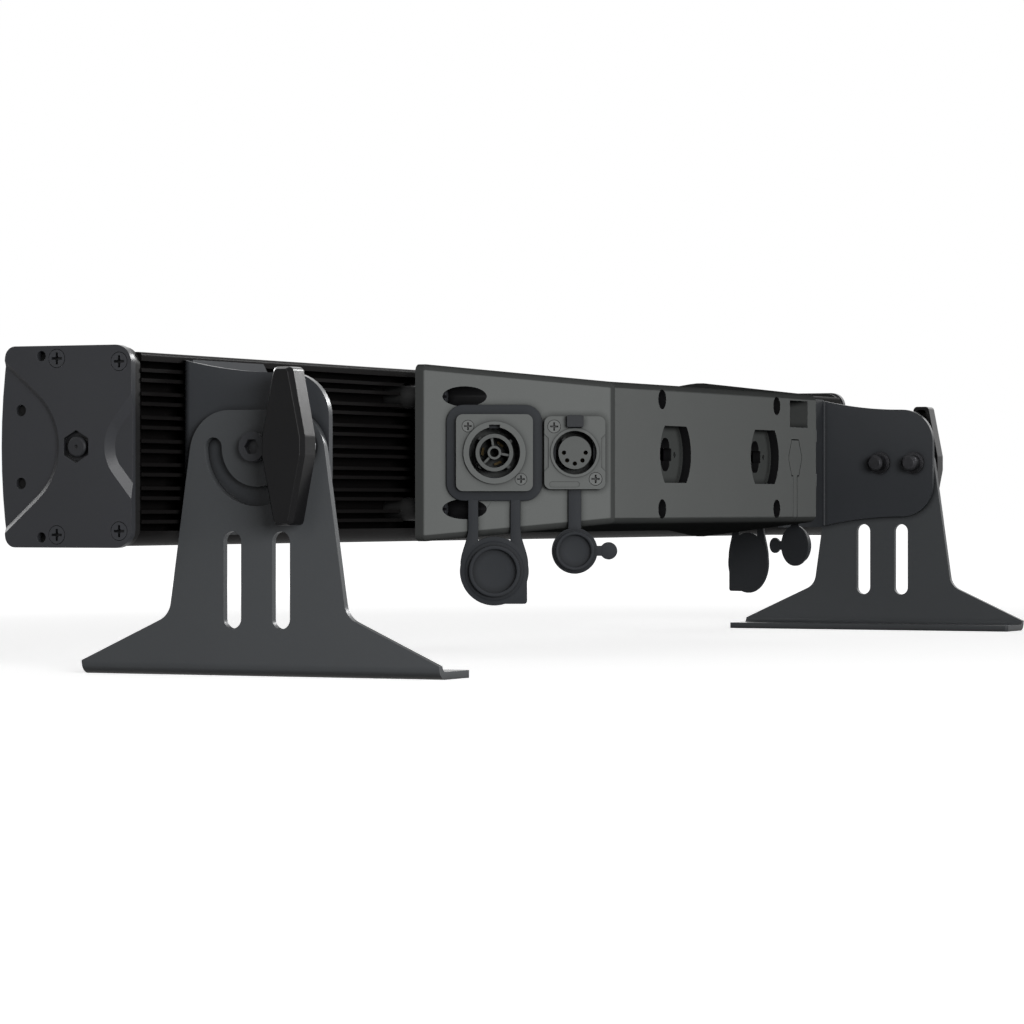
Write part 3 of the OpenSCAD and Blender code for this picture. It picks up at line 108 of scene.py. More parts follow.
def length_of(name, description, millimetres):
    return bpy.props.FloatProperty(
        name=name,
        description=description,
        subtype="DISTANCE",
        unit="LENGTH",
        min=0,
        default=millimetres * MM,
    )


def power_of(name, description, watts):
    return bpy.props.FloatProperty(
        name=name, description=description, unit="POWER", min=0, default=watts
    )


def share_of(name, description, value):
    return bpy.props.FloatProperty(
        name=name, description=description, subtype="FACTOR", min=0, max=1, default=value
    )


class WasherColours(bpy.types.PropertyGroup):
    """Colours of the light's finishes."""

    extrusion: colour_of("Extrusion", "Black anodised bar body", (19, 18, 18))
    casting: colour_of("Frames", "End frames and front bezel", (31, 31, 31))
    end_cap: colour_of("End caps", "Powder coat of the end caps", (49, 50, 53))
    housing: colour_of("Housing", "Powder coat of the connector housing", (100, 102, 101))
    receptacle: colour_of("Receptacles", "Quick-lock receptacle plates", (70, 72, 71))
    ear: colour_of("Ears", "Powder coat of the ears", (52, 54, 57))
    foot: colour_of("Feet", "Powder coat of the feet", (67, 69, 71))
    knob: colour_of("Knobs", "Moulded wing knobs", (17, 17, 18))
    socket: colour_of("Sockets", "Moulded socket shells and inserts", (95, 97, 96))
    rubber: colour_of("Rubber", "Covers and gaskets", (43, 45, 48))
    seal: colour_of("Seals", "Soft black seals", (20, 20, 20))
    steel: colour_of("Screws", "Blackened steel screws", (46, 46, 48))
    washer: colour_of("Washers", "Plain steel washers", (96, 96, 98))
    contact: colour_of("Contacts", "Contact metal", (84, 72, 50))
    board: colour_of("Board", "Solder mask of the light board", (228, 230, 226))
    phosphor: colour_of("Phosphor", "Domes of the light sources", (236, 206, 92))
    # Painted shade: a dark colour for the walls of wells, recesses and bores, in place of the shade
    # that falls there
    recess: colour_of("Recesses", "Dark walls of wells and recesses", (17, 17, 18))


class WasherShape(bpy.types.PropertyGroup):
    """Edge radii and the rubber covers' forms."""

    sheet_edge: length_of("Sheet edges", "Rounding of the ears' and feet's edges", 0.4)
    cap_edge: length_of("Cap edges", "Rounding of the end caps' edges", 0.45)
    housing_edge: length_of("Housing edges", "Rounding of the housing's openings", 0.4)
    moulded_edge: length_of("Moulded edges", "Rounding of sockets and small pieces", 0.18)
    knob_edge: length_of("Knob edges", "Rounding of the wing knobs", 0.5)
    fin_edge: length_of("Fin edges", "Rounding of the extruded body's edges", 0.2)
    rubber_edge: length_of("Rubber edges", "Rounding of the rubber covers", 0.35)


class WasherStage(bpy.types.PropertyGroup):
    """Light levels of the studio."""

    key_power: power_of("Key", "Power of the large soft light", 26.5)
    fill_power: power_of("Fill", "Power of the low light on the light side", 8.0)
    rim_power: power_of("Rim", "Power of the light behind that only glints", 14.0)
    glint_power: power_of("Glint", "Power of the light that only glints on the end cap", 13.0)
    side_power: power_of("Side", "Power of the far light that only glints", 30.0)
    ambient: share_of("Ambient", "Strength of the even light from all round", 0.14)


class Wire:
    """A shader socket. Arithmetic on it adds Math nodes, and node() adds any other node."""

    def __init__(self, tree, socket=None):
        self.tree = tree
        self.socket = socket

    def node(self, kind, settings=None, inputs=None, output=0):
        made = self.tree.nodes.new(kind)
        for name, value in (settings or {}).items():
            if name == "stops":
                ramp = made.color_ramp.elements
                while len(ramp) < len(value):
                    ramp.new(0.5)
                for element, (position, colour) in zip(ramp, value):
                    element.position = position
                    element.color = colour
            else:
                setattr(made, name, value)
        for name, value in (inputs or {}).items():
            if isinstance(value, Wire):
                self.tree.links.new(value.socket, made.inputs[name])
            else:
                made.inputs[name].default_value = value
        return Wire(self.tree, made.outputs[output] if len(made.outputs) else None)

    def _maths(self, operation, a, b, clamped=False):
        settings = {"operation": operation, "use_clamp": clamped}
        return self.node("ShaderNodeMath", settings, {0: a, 1: b})

    def clamped(self, factor):
        """This times factor, kept between 0 and 1."""
        return self._maths("MULTIPLY", self, factor, True)

    def __add__(self, other):
        return self._maths("ADD", self, other)

    def __sub__(self, other):
        return self._maths("SUBTRACT", self, other)

    def __rsub__(self, other):
        return self._maths("SUBTRACT", other, self)

    def __mul__(self, other):
        return self._maths("MULTIPLY", self, other)

    def __gt__(self, other):
        return self._maths("GREATER_THAN", self, other)

    def dimmed(self, factor, share):
        """This colour, with only a share of it left where factor is 1."""
        inputs = {0: factor, 1: self, 2: (share, share, share, 1)}
        return self.node("ShaderNodeMixRGB", {"blend_type": "MULTIPLY"}, inputs)

    def tinted(self, dark, light):
        """Colour between dark and light, by this factor."""
        return self.node(
            "ShaderNodeMix",
            {"data_type": "RGBA"},
            {0: self, 6: (*dark, 1), 7: (*light, 1)},
            output=2,
        )


def shade(colour, factor):
    return tuple(min(1, c * factor) for c in colour)


def new_tree(name):
    material = bpy.data.materials.new(name)
    material.use_nodes = True
    material.node_tree.nodes.clear()
    return material, Wire(material.node_tree)


def noise(wire, scale, detail=2.0, stretch=(1, 1, 1)):
    """Noise in object space; scale counts features in a metre."""
    place = wire.node("ShaderNodeTexCoord", output=3)
    mapped = wire.node("ShaderNodeMapping", None, {0: place, 3: stretch})
    inputs = {"Vector": mapped, "Scale": scale, "Detail": detail}
    return wire.node("ShaderNodeTexNoise", None, inputs)


def painted_top_sheen(wire):
    """1 where a surface turns away from the eye and faces upwards, 0 elsewhere: where a clear coat
    paints a sheen, as of light from above.
    """
    away = wire.node("ShaderNodeLayerWeight", None, {"Blend": 0.5}, output=1)
    normal = wire.node("ShaderNodeNewGeometry", output=1)
    up = wire.node("ShaderNodeSeparateXYZ", None, {0: normal}, output=2)
    return (away - GLOSS_FROM).clamped(GLOSS_RISE) * up.clamped(GLOSS_UP)


def rim_shade_mask(wire):
    """Mask of painted shade: 0 on the connector housing's three rear panels, rising to 1 on its
    rims and flanks.
    """
    normal = wire.node("ShaderNodeNewGeometry", output=1)
    parts = wire.node("ShaderNodeSeparateXYZ", None, {0: normal})
    x, y = parts, Wire(wire.tree, parts.socket.node.outputs[1])
    across, back, _ = MOUNTS["power_in"]["axis"]
    side = wire.node("ShaderNodeMath", {"operation": "ABSOLUTE"}, {0: x}) * abs(across) + y * back
    flat = wire.node("ShaderNodeMath", {"operation": "MAXIMUM"}, {0: side, 1: y * -1.0})
    return (1.0 - flat).clamped(RIM_SHADE_RISE)


def coat(
    name,
    colour,
    roughness,
    grain=1100,
    depth=0.06,
    spread=0.06,
    specular=0.1,
    stretch=(1, 1, 1),
    top_sheen=1.0,
    painted_rim_shade=False,
):
    """A coated or moulded surface: fine grain, cloudy tone, painted shade in crevices and a painted
    sheen on top edges.

    One argument gives the most that the clear coat of the painted top sheen reaches there; another
    paints shade on the connector housing's rims and flanks.
    """
    material, wire = new_tree(name)
    cloud = noise(wire, 28, 3.0, stretch)
    fine = noise(wire, grain, 2.0, stretch)
    base = (cloud * 0.6 + fine * 0.4).tinted(shade(colour, 1 - spread), shade(colour, 1 + spread))
    # Painted shade: the colour darkens where ambient occlusion finds crevices, recesses and inner
    # corners
    open_sky = wire.node(
        "ShaderNodeAmbientOcclusion", {"samples": 6}, {"Distance": CREVICE_WIDTH * MM}, output=1
    )
    base = base.dimmed((1.0 - open_sky).clamped(CREVICE_SHADE_RISE), CREVICE_SHADE_SHARE)
    # Painted shade on the housing's rims and flanks, where they turn away from its rear panels
    if painted_rim_shade:
        base = base.dimmed(rim_shade_mask(wire), RIM_SHADE_SHARE)
    bumps = {"Strength": depth, "Distance": 0.2 * MM, "Height": fine}
    bump = wire.node("ShaderNodeBump", None, bumps)
    body = wire.node(
        "ShaderNodeBsdfPrincipled",
        None,
        {
            "Base Color": base,
            "Roughness": (cloud - 0.5) * 0.12 + roughness,
            "Specular IOR Level": specular,
            # Painted sheen: the clear coat lies only on faces that turn up and away from the eye,
            # so that top edges glint as if lit from above
            "Coat Weight": painted_top_sheen(wire) * top_sheen if top_sheen else 0.0,
            "Coat Roughness": GLOSS_ROUGHNESS,
            "Normal": bump,
        },
    )
    wire.node("ShaderNodeOutputMaterial", None, {"Surface": body})
    return material


def metal(name, colour, roughness, spread=0.08, stretch=(1, 1, 1)):
    """Bare or blackened metal with faint working marks."""
    material, wire = new_tree(name)
    marks = noise(wire, 900, 3.0, stretch)
    body = wire.node(
        "ShaderNodeBsdfPrincipled",
        None,
        {
            "Base Color": marks.tinted(shade(colour, 1 - spread), shade(colour, 1 + spread)),
            "Metallic": 1.0,
            "Roughness": (marks - 0.5) * 0.2 + roughness,
        },
    )
    wire.node("ShaderNodeOutputMaterial", None, {"Surface": body})
    return material


def clear(name, colour, roughness):
    """Clear glass or moulded lens plastic, faintly uneven."""
    material, wire = new_tree(name)
    haze = noise(wire, 60, 2.0)
    body = wire.node(
        "ShaderNodeBsdfPrincipled",
        None,
        {
            "Base Color": haze.tinted(shade(colour, 0.97), colour),
            "Roughness": haze * 0.03 + roughness,
            "Transmission Weight": 1.0,
            "IOR": 1.47,
        },
    )
    wire.node("ShaderNodeOutputMaterial", None, {"Surface": body})
    return material


def finish_node(name, material, edge=0.0, segments=2, limit=28):
    """Gives a CAD node its finish and rounds its edges sharper than limit degrees by edge."""
    piece = NODES[name]
    piece.data.materials.clear()
    piece.data.materials.append(material)
    if edge <= 0:
        return piece
    if "custom_normal" in piece.data.attributes:
        piece.data.attributes.remove(piece.data.attributes["custom_normal"])
    for polygon in piece.data.polygons:
        polygon.use_smooth = True
    weld = piece.modifiers.new("weld", "WELD")
    weld.merge_threshold = 0.002 * MM
    flat = piece.modifiers.new("flat", "DECIMATE")
    flat.decimate_type = "DISSOLVE"
    flat.angle_limit = math.radians(1)
    rounding = piece.modifiers.new("edges", "BEVEL")
    rounding.width = edge
    rounding.segments = segments
    rounding.limit_method = "ANGLE"
    rounding.angle_limit = math.radians(limit)
    rounding.use_clamp_overlap = True
    rounding.miter_outer = "MITER_ARC"
    normals = piece.modifiers.new("normals", "WEIGHTED_NORMAL")
    normals.weight = 100
    normals.keep_sharp = True
    return piece


def middles(name, reach):
    """Middles (x, z) in millimetres, seen along y, of a node's solids. reach spans one solid."""
    place, groups = NODES[name].matrix_world, []
    for vertex in NODES[name].data.vertices:
        spot = place @ vertex.co / MM
        point = Vector((spot.x, spot.z))
        for group in groups:
            if (group[0] - point).length < reach:
                group.append(point)
                break
        else:
            groups.append([point])
    return [
        Vector([(min(p[i] for p in group) + max(p[i] for p in group)) / 2 for i in (0, 1)])
        for group in groups
    ]


def paint_bore_shade(name, material, bores, facing):
    """Paints shade on the walls of bores along y, with a second, dark material.

    bores lists (middle, half width, half height).
    facing is the largest share of y in a wall's normal.
    """
    piece = NODES[name]
    piece.data.materials.append(material)
    spots = [piece.matrix_world @ vertex.co / MM for vertex in piece.data.vertices]
    for polygon in piece.data.polygons:
        if abs(polygon.normal.y) > facing:
            continue
        for middle, across, up in bores:
            if all(
                abs(spots[i].x - middle.x) < across and abs(spots[i].z - middle.y) < up
                for i in polygon.vertices
            ):
                polygon.material_index = 1


def loft(mesh, rings, closed=False, capped=False):
    """Skins rings of equal point counts, in order. closed joins the last ring to the first."""
    made = [[mesh.verts.new(point) for point in ring] for ring in rings]
    count = len(made[0])
    pairs = list(zip(made, made[1:])) + ([(made[-1], made[0])] if closed else [])
    for one, two in pairs:
        for i in range(count):
            j = (i + 1) % count
            mesh.faces.new((one[i], one[j], two[j], two[i]))
    if capped:
        mesh.faces.new(made[0][::-1])
        mesh.faces.new(made[-1])


def circle(radius, z, middle=(0, 0), count=96):
    return [
        (
            middle[0] + radius * math.cos(2 * math.pi * i / count),
            middle[1] + radius * math.sin(2 * math.pi * i / count),
            z,
        )
        for i in range(count)
    ]


def rounded_rectangle(width, height, radius, z, corner=12):
    """Closed outline, counter-clockwise from the right side's lower corner."""
    points = []
    for quarter, (sx, sy) in enumerate(((1, -1), (1, 1), (-1, 1), (-1, -1))):
        cx, cy = sx * (width / 2 - radius), sy * (height / 2 - radius)
        start = -math.pi / 2 + quarter * math.pi / 2
        for i in range(corner + 1):
            angle = start + math.pi / 2 * i / corner
            points.append((cx + radius * math.cos(angle), cy + radius * math.sin(angle), z))
    return points


def turned(mesh, profile, middle, count=96):
    """A solid of revolution: profile is (radius, height) from the back's axis to the front's."""
    rings = [circle(radius, z, middle, count) for radius, z in profile]
    loft(mesh, rings, capped=True)


def panel_frame(mount_name):
    """Matrix of a slanted panel at a socket: x to the right seen from outside, y up, z outwards."""
    mount = MOUNTS[mount_name]
    outward = Vector(mount["axis"]).normalized()
    origin = Vector(mount["pos_m"]) - outward * (SOCKET_MOUNT_OUT * MM)
    up = Vector((0, 0, 1))
    across = up.cross(outward)
    matrix = Matrix((across, up, outward)).transposed().to_4x4()
    matrix.translation = origin
    return matrix @ Matrix.Scale(MM, 4)


def new_piece(name, mesh, matrix, material):
    """An object of the bmesh, placed by matrix, smooth where its faces meet gently."""
    bmesh.ops.remove_doubles(mesh, verts=mesh.verts, dist=0.001)
    bmesh.ops.recalc_face_normals(mesh, faces=mesh.faces)
    data = bpy.data.meshes.new(name)
    mesh.to_mesh(data)
    mesh.free()
    data.transform(matrix)
    for polygon in data.polygons:
        polygon.use_smooth = True
    data.set_sharp_from_angle(angle=math.radians(40))
    data.materials.append(material)
    piece = bpy.data.objects.new(name, data)
    bpy.context.scene.collection.objects.link(piece)
    return piece


class WASHER_OT_bar(bpy.types.Operator):
    """Extruded body, end frames and bezel."""

    bl_idname = "washer.bar"
    bl_label = "Finish the bar"

    def execute(self, context):
        colours, shape = context.scene.washer_colours, context.scene.washer_shape
        drawn = coat(
            "drawn extrusion",
            tuple(colours.extrusion),
            0.42,
            grain=700,
            spread=0.12,
            specular=0.01,
            stretch=(0.04, 1, 1),
            top_sheen=0.12,
        )
        cast = coat("satin casting", tuple(colours.casting), 0.45, specular=0.06, top_sheen=0.4)
        finish_node("bar_body", drawn, shape.fin_edge)
        finish_node("end_frames", cast, shape.moulded_edge)
        finish_node("front_bezel", cast, shape.moulded_edge)
        return {"FINISHED"}


class WASHER_OT_end_caps(bpy.types.Operator):
    """End caps with their relief, and the vents in them."""

    bl_idname = "washer.end_caps"
    bl_label = "Finish the end caps"

    def execute(self, context):
        colours, shape = context.scene.washer_colours, context.scene.washer_shape
        powder = coat("cap powder coat", tuple(colours.end_cap), 0.32, specular=0.12)
        for name in ("end_cap_left", "end_cap_right"):
            finish_node(name, powder, shape.cap_edge, segments=3, limit=12)
        vent = coat("vent plastic", shade(colours.end_cap, 0.6), 0.5)
        finish_node("vent_plugs", vent, shape.moulded_edge)
        return {"FINISHED"}


class WASHER_OT_housing(bpy.types.Operator):
    """Connector housing, receptacles, service plug, driver, posts and seals."""

    bl_idname = "washer.housing"
    bl_label = "Finish the connector housing"

    def execute(self, context):
        colours, shape = context.scene.washer_colours, context.scene.washer_shape
        tint = tuple(colours.housing)
        # The housing's coat carries painted shade on its rims and flanks
        powder = coat("housing powder coat", tint, 0.46, specular=0.0, top_sheen=0.0, painted_rim_shade=True)
        finish_node("connector_housing", powder, shape.housing_edge)
        plate = coat("receptacle coat", tuple(colours.receptacle), 0.45, specular=0.0, top_sheen=0.0)
        finish_node("lock_receptacles", plate, shape.moulded_edge)
        # Painted shade: the walls of the screw wells, the lock recesses and the receptacles' bores
        # get a dark coat in place of the shade in them
        dark = coat("recess walls", tuple(colours.recess), 0.6, specular=0.05)
        locks = middles("lock_receptacles", RECEPTACLE_SPAN)
        wells = middles("housing_screws", SCREW_SPAN)
        bores = [(middle, *RECESS_HALF) for middle in locks]
        bores += [(middle, WELL_HALF, WELL_HALF) for middle in wells]
        paint_bore_shade("connector_housing", dark, bores, WITH_FLOORS)
        key_bores = [(middle, BORE_HALF, BORE_HALF) for middle in locks]
        paint_bore_shade("lock_receptacles", dark, key_bores, WALLS_ONLY)
        finish_node("service_plug", powder, shape.moulded_edge)
        seal = coat("black seal", tuple(colours.seal), 0.7, specular=0.2)
        finish_node("housing_seal", seal)
        finish_node("housing_posts", seal, shape.moulded_edge)
        finish_node("glass_seal", seal)
        sheet = metal("driver sheet", (0.66, 0.67, 0.69), 0.4, stretch=(0.1, 1, 1))
        finish_node("driver", sheet, shape.moulded_edge)
        return {"FINISHED"}


class WASHER_OT_sockets(bpy.types.Operator):
    """Power and data sockets, their inserts and the push latch."""

    bl_idname = "washer.sockets"
    bl_label = "Finish the sockets"

    def execute(self, context):
        colours, shape = context.scene.washer_colours, context.scene.washer_shape
        shell = coat("socket shell", tuple(colours.socket), 0.48, specular=0.03)
        core = coat("socket insert", shade(colours.socket, 0.86), 0.5, specular=0.02)
        edges = {"power": 0, "data": shape.moulded_edge}
        for way in ("in", "out"):
            for kind in ("power", "data"):
                finish_node(f"{kind}_{way}_socket", shell, edges[kind])
                finish_node(f"{kind}_{way}_insert", core)
        latch = coat("latch plastic", shade(colours.rubber, 0.7), 0.5)
        finish_node("data_latch", latch, shape.moulded_edge)
        screw = coat("coated screws", shade(colours.socket, 0.95), 0.4)
        finish_node("socket_screws", screw, shape.moulded_edge * SMALL_EDGE)
        return {"FINISHED"}


class WASHER_OT_rubber_covers(bpy.types.Operator):
    """Gaskets with their straps and hanging covers, each one moulding."""

    bl_idname = "washer.rubber_covers"
    bl_label = "Make the rubber covers"

    def execute(self, context):
        colours = context.scene.washer_colours
        edge = context.scene.washer_shape.rubber_edge / MM
        tint = tuple(colours.rubber)
        rubber = coat("soft rubber", tint, 0.62, grain=1500, depth=0.05, spread=0.05, specular=0.08)
        for way in ("in", "out"):
            for kind, build in (("power", power_cover), ("data", data_cover)):
                mesh = bmesh.new()
                build(mesh, edge)
                name = f"{kind}_{way}"
                piece = new_piece(f"{name}_cover", mesh, panel_frame(name), rubber)
                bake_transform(piece)
                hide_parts(f"{name}_gasket", f"{name}_cap")
        return {"FINISHED"}


# The covers' sizes in millimetres. drop is from the socket's axis down to the cap's. step, ring and
# bore are the radii of the cap's step, raised ring and hollow.
POWER = {
    "side": 40.9,
    "corner": 7.5,
    "sheet": 1.2,
    "hole": 24.7,
    "drop": 50.4,
    "cap": 29.4,
    "leg": 4.3,
    "span": 18.0,
    "tip": 1.3,
    "step": 12.9,
    "ring": 10.9,
    "bore": 9.35,
}
DATA = {
    "width": 26.0,
    "height": 31.0,
    "corner": 2.9,
    "sheet": 0.8,
    "hole": 22.3,
    "drop": 41.8,
    "cap": 19.6,
    "cap_sheet": 1.2,
    "strap": 5.5,
    "step": 8.95,
    "ring": 8.35,
    "bore": 6.85,
    "tab": 14.5,
    "tab_radius": 3.72,
    "neck": 4.3,
}
# Caps and straps lie this far out from the gasket's back
LIFT = 0.3
# Straps and corners end this far inside the cover's own faces
SUNK = 0.05
# Straps start this far inside the gasket
ROOT = 1.0
# Edge of the thin gasket, and the radius at which a revolved cap closes over its axis
THIN_EDGE, AXIS = 0.1, 0.01

# Radii in millimetres of the circles on which the data and the power contacts lie
PIN_CIRCLE, BLADE_CIRCLE = 4.62, 4.7


def ring_plate(mesh, outer, hole, low, high, edge):
    """A flat gasket: outer(inset, z) gives its outline, and a round hole goes through it."""
    # The hole follows the outline's own bearings, so that the skin doesn't twist
    inner = []
    for x, y, _ in outer(0, 0):
        bearing = math.atan2(y, x)
        inner.append((hole / 2 * math.cos(bearing), hole / 2 * math.sin(bearing)))
    rings = [
        outer(0, low),
        outer(0, high - edge),
        outer(edge * 0.3, high - edge * 0.3),
        outer(edge, high),
        [(x, y, high) for x, y in inner],
        [(x, y, low) for x, y in inner],
    ]
    loft(mesh, rings, closed=True)


def strip(mesh, path, thickness, edge):
    """A strap of rubber: path is (x, y, width, z of its back) from top to bottom."""
    rings = []
    for x, y, width, back in path:
        half, front = width / 2, back + thickness
        rings.append(
            [
                (x - half, y, back),
                (x + half, y, back),
                (x + half, y, front - edge),
                (x + half - edge * 0.3, y, front - edge * 0.3),
                (x + half - edge, y, front),
                (x - half + edge, y, front),
                (x - half + edge * 0.3, y, front - edge * 0.3),
                (x - half, y, front - edge),
            ]
        )
    loft(mesh, rings, capped=True)


def eased(share):
    return share * share * (3 - 2 * share)


def strap_back(share):
    """Height of a strap's back: it rises from the gasket's back to the cap's near its upper end."""
    return SUNK + LIFT * eased(min(1, max(0, (share - 0.02) / 0.2)))


def power_cover(mesh, edge):
    """Square gasket, two straps, and a stepped round cover with one square corner."""
    sheet, drop, radius = POWER["sheet"], POWER["drop"], POWER["cap"] / 2

    def outline(inset, z):
        side = POWER["side"] - 2 * inset
        return rounded_rectangle(side, side, POWER["corner"] - inset, z)

    ring_plate(mesh, outline, POWER["hole"], 0, sheet, edge)
    top, bottom = -POWER["side"] / 2 + ROOT, -drop + radius * 0.2
    straight, inner = (POWER["span"] + POWER["leg"]) / 2, (POWER["span"] - POWER["leg"]) / 2
    steps = 46
    for side in (-1, 1):
        path = []
        for i in range(steps + 1):
            share = i / steps
            y = top + (bottom - top) * share
            spread = eased(max(0, (share - 0.45) / 0.55))
            outer = straight + (radius * 0.985 - straight) * spread
            path.append((side * (outer + inner) / 2, y, outer - inner, strap_back(share)))
        strip(mesh, path, sheet - 2 * SUNK, edge)
    face = LIFT + sheet
    step, ring, floor = face + 0.55, face + 2.9, face + 0.35
    step_r, ring_r, bore_r = POWER["step"], POWER["ring"], POWER["bore"]
    profile = [(AXIS, LIFT), (radius, LIFT), (radius, face - edge)]
    profile += [(radius - edge * 0.3, face - edge * 0.3), (radius - edge, face)]
    profile += [(step_r, face), (step_r - 0.3, face + 0.15)]
    profile += [(step_r - 0.5, step - 0.15), (step_r - 0.8, step)]
    profile += [(ring_r, step), (ring_r, ring - 0.4)]
    profile += [(ring_r - 0.1, ring - 0.12), (ring_r - 0.4, ring)]
    profile += [(bore_r + 0.4, ring), (bore_r + 0.1, ring - 0.12), (bore_r, ring - 0.4)]
    profile += [(bore_r, floor + 0.05), (bore_r - 0.25, floor), (AXIS, floor)]
    turned(mesh, profile, (0, -drop))
    corner, tip, top = radius * 0.952, POWER["tip"], face - SUNK
    levels = ((0, LIFT + SUNK), (0, top - edge), (edge * 0.3, top - edge * 0.3), (edge, top))
    rings = []
    for inset, z in levels:
        side = corner - inset
        points = [(0, -drop, z), (0, -drop - side, z)]
        for i in range(7):
            angle = -math.pi / 2 + math.pi / 2 * i / 6
            x, y = side - tip + tip * math.cos(angle), -drop - side + tip + tip * math.sin(angle)
            points.append((x, y, z))
        points.append((side, -drop, z))
        rings.append(points)
    loft(mesh, rings, capped=True)


def data_cover(mesh, edge):
    """Thin gasket under the flange, one strap, a stepped round cover and its pull tab."""
    sheet, drop, radius = DATA["cap_sheet"], DATA["drop"], DATA["cap"] / 2

    def outline(inset, z):
        width, height = DATA["width"] - 2 * inset, DATA["height"] - 2 * inset
        return rounded_rectangle(width, height, DATA["corner"] - inset, z)

    ring_plate(mesh, outline, DATA["hole"], 0, DATA["sheet"], THIN_EDGE)
    top, bottom = -DATA["height"] / 2 + ROOT, -drop + radius * 0.6
    steps = 40
    path = []
    for i in range(steps + 1):
        share = i / steps
        path.append((0, top + (bottom - top) * share, DATA["strap"], strap_back(share)))
    strip(mesh, path, sheet - 2 * SUNK, edge)
    face = LIFT + sheet
    step, ring, floor = face + 0.95, face + 2.6, face + 0.4
    step_r, ring_r, bore_r = DATA["step"], DATA["ring"], DATA["bore"]
    profile = [(AXIS, LIFT), (radius, LIFT), (radius, face - edge)]
    profile += [(radius - 0.1, face - 0.1), (radius - edge, face)]
    profile += [(step_r + 0.05, face), (step_r, face + 0.1)]
    profile += [(step_r, step - 0.2), (step_r - 0.25, step)]
    profile += [(ring_r, step), (ring_r - 0.05, step + 0.15), (ring_r - 0.1, ring - 0.3)]
    profile += [(ring_r - 0.45, ring), (bore_r + 0.35, ring), (bore_r + 0.1, ring - 0.15)]
    profile += [(bore_r, ring - 0.4), (bore_r, floor + 0.1), (bore_r - 0.25, floor), (AXIS, floor)]
    turned(mesh, profile, (0, -drop))

    # The neck runs from inside the cap's edge to inside the tab's round end
    tab, tab_r, half = DATA["tab"], DATA["tab_radius"], DATA["neck"] / 2
    start, end = radius - 1.3, tab - 2.7
    rings = []
    for i in range(9):
        x = start + (end - start) * i / 8
        rings.append(
            [
                (x, -drop - half, LIFT + SUNK),
                (x, -drop + half, LIFT + SUNK),
                (x, -drop + half, face - SUNK - edge),
                (x, -drop + half - edge, face - SUNK),
                (x, -drop - half + edge, face - SUNK),
                (x, -drop - half, face - SUNK - edge),
            ]
        )
    loft(mesh, rings, capped=True)
    profile = [(AXIS, LIFT), (tab_r, LIFT), (tab_r, face - edge)]
    profile += [(tab_r - 0.12, face - 0.1), (tab_r - edge, face), (AXIS, face)]
    turned(mesh, profile, (tab, -drop), 48)


class WASHER_OT_contacts(bpy.types.Operator):
    """Contact metal in the sockets."""

    bl_idname = "washer.contacts"
    bl_label = "Make the contacts"

    def execute(self, context):
        colours = context.scene.washer_colours
        gilt = metal("contact metal", tuple(colours.contact), 0.3)
        # Painted shade: a darker copy of the contact metal for the contacts that sit deep in the
        # sockets
        shaded_contact_metal = metal("contact metal in shade", shade(colours.contact, 0.3), 0.5)
        tube = [(AXIS, -8), (0.8, -8), (0.8, -5.4), (0.5, -5.4), (0.5, -6.8), (AXIS, -6.8)]
        pin = [(AXIS, -12.6), (1.0, -12.6), (1.0, -1.2), (0.8, -0.7), (0.4, -0.45), (AXIS, -0.45)]
        for name, finish, profile in (("data_in", shaded_contact_metal, tube), ("data_out", gilt, pin)):
            mesh = bmesh.new()
            for i in range(5):
                angle = math.pi + math.pi / 4 * i
                middle = (PIN_CIRCLE * math.cos(angle), PIN_CIRCLE * math.sin(angle))
                turned(mesh, profile, middle, 20)
            piece = new_piece(f"{name}_contacts", mesh, panel_frame(name), finish)
            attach(piece, "bar")
        for name in ("power_in", "power_out"):
            mesh = bmesh.new()
            for i in range(3):
                angle = math.radians(52 + 120 * i)
                across = Vector((math.cos(angle), math.sin(angle)))
                along = Vector((-across.y, across.x))
                rings = [
                    [
                        (*(across * (BLADE_CIRCLE + a) + along * b), z)
                        for a, b in ((-0.5, -1.6), (0.5, -1.6), (0.5, 1.6), (-0.5, 1.6))
                    ]
                    for z in (-12, -9.5)
                ]
                loft(mesh, rings, capped=True)
            piece = new_piece(f"{name}_contacts", mesh, panel_frame(name), shaded_contact_metal)
            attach(piece, "bar")
        return {"FINISHED"}


class WASHER_OT_light_side(bpy.types.Operator):
    """Window glass, lenses, tray, board and light sources."""

    bl_idname = "washer.light_side"
    bl_label = "Finish the light side"

    def execute(self, context):
        colours, shape = context.scene.washer_colours, context.scene.washer_shape
        finish_node("front_glass", clear("window glass", (0.94, 0.97, 0.97), 0.0))
        finish_node("lenses", clear("lens plastic", (0.97, 0.98, 0.98), 0.02))
        finish_node("lens_tray", coat("black tray", tone(22, 22, 22), 0.5), shape.moulded_edge)
        finish_node("led_board", coat("solder mask", tuple(colours.board), 0.4, spread=0.02))
        finish_node("leds", coat("phosphor", tuple(colours.phosphor), 0.35, spread=0.05))
        return {"FINISHED"}


class WASHER_OT_sheet_metal(bpy.types.Operator):
    """Ears and feet."""

    bl_idname = "washer.sheet_metal"
    bl_label = "Finish the ears and feet"

    def execute(self, context):
        colours, shape = context.scene.washer_colours, context.scene.washer_shape
        ear = coat("ear powder coat", tuple(colours.ear), 0.42, specular=0.1)
        foot = coat("foot powder coat", tuple(colours.foot), 0.42, specular=0.1)
        for side in ("left", "right"):
            finish_node(f"ear_{side}", ear, shape.sheet_edge, segments=3)
            finish_node(f"foot_{side}", foot, shape.sheet_edge, segments=3)
        return {"FINISHED"}


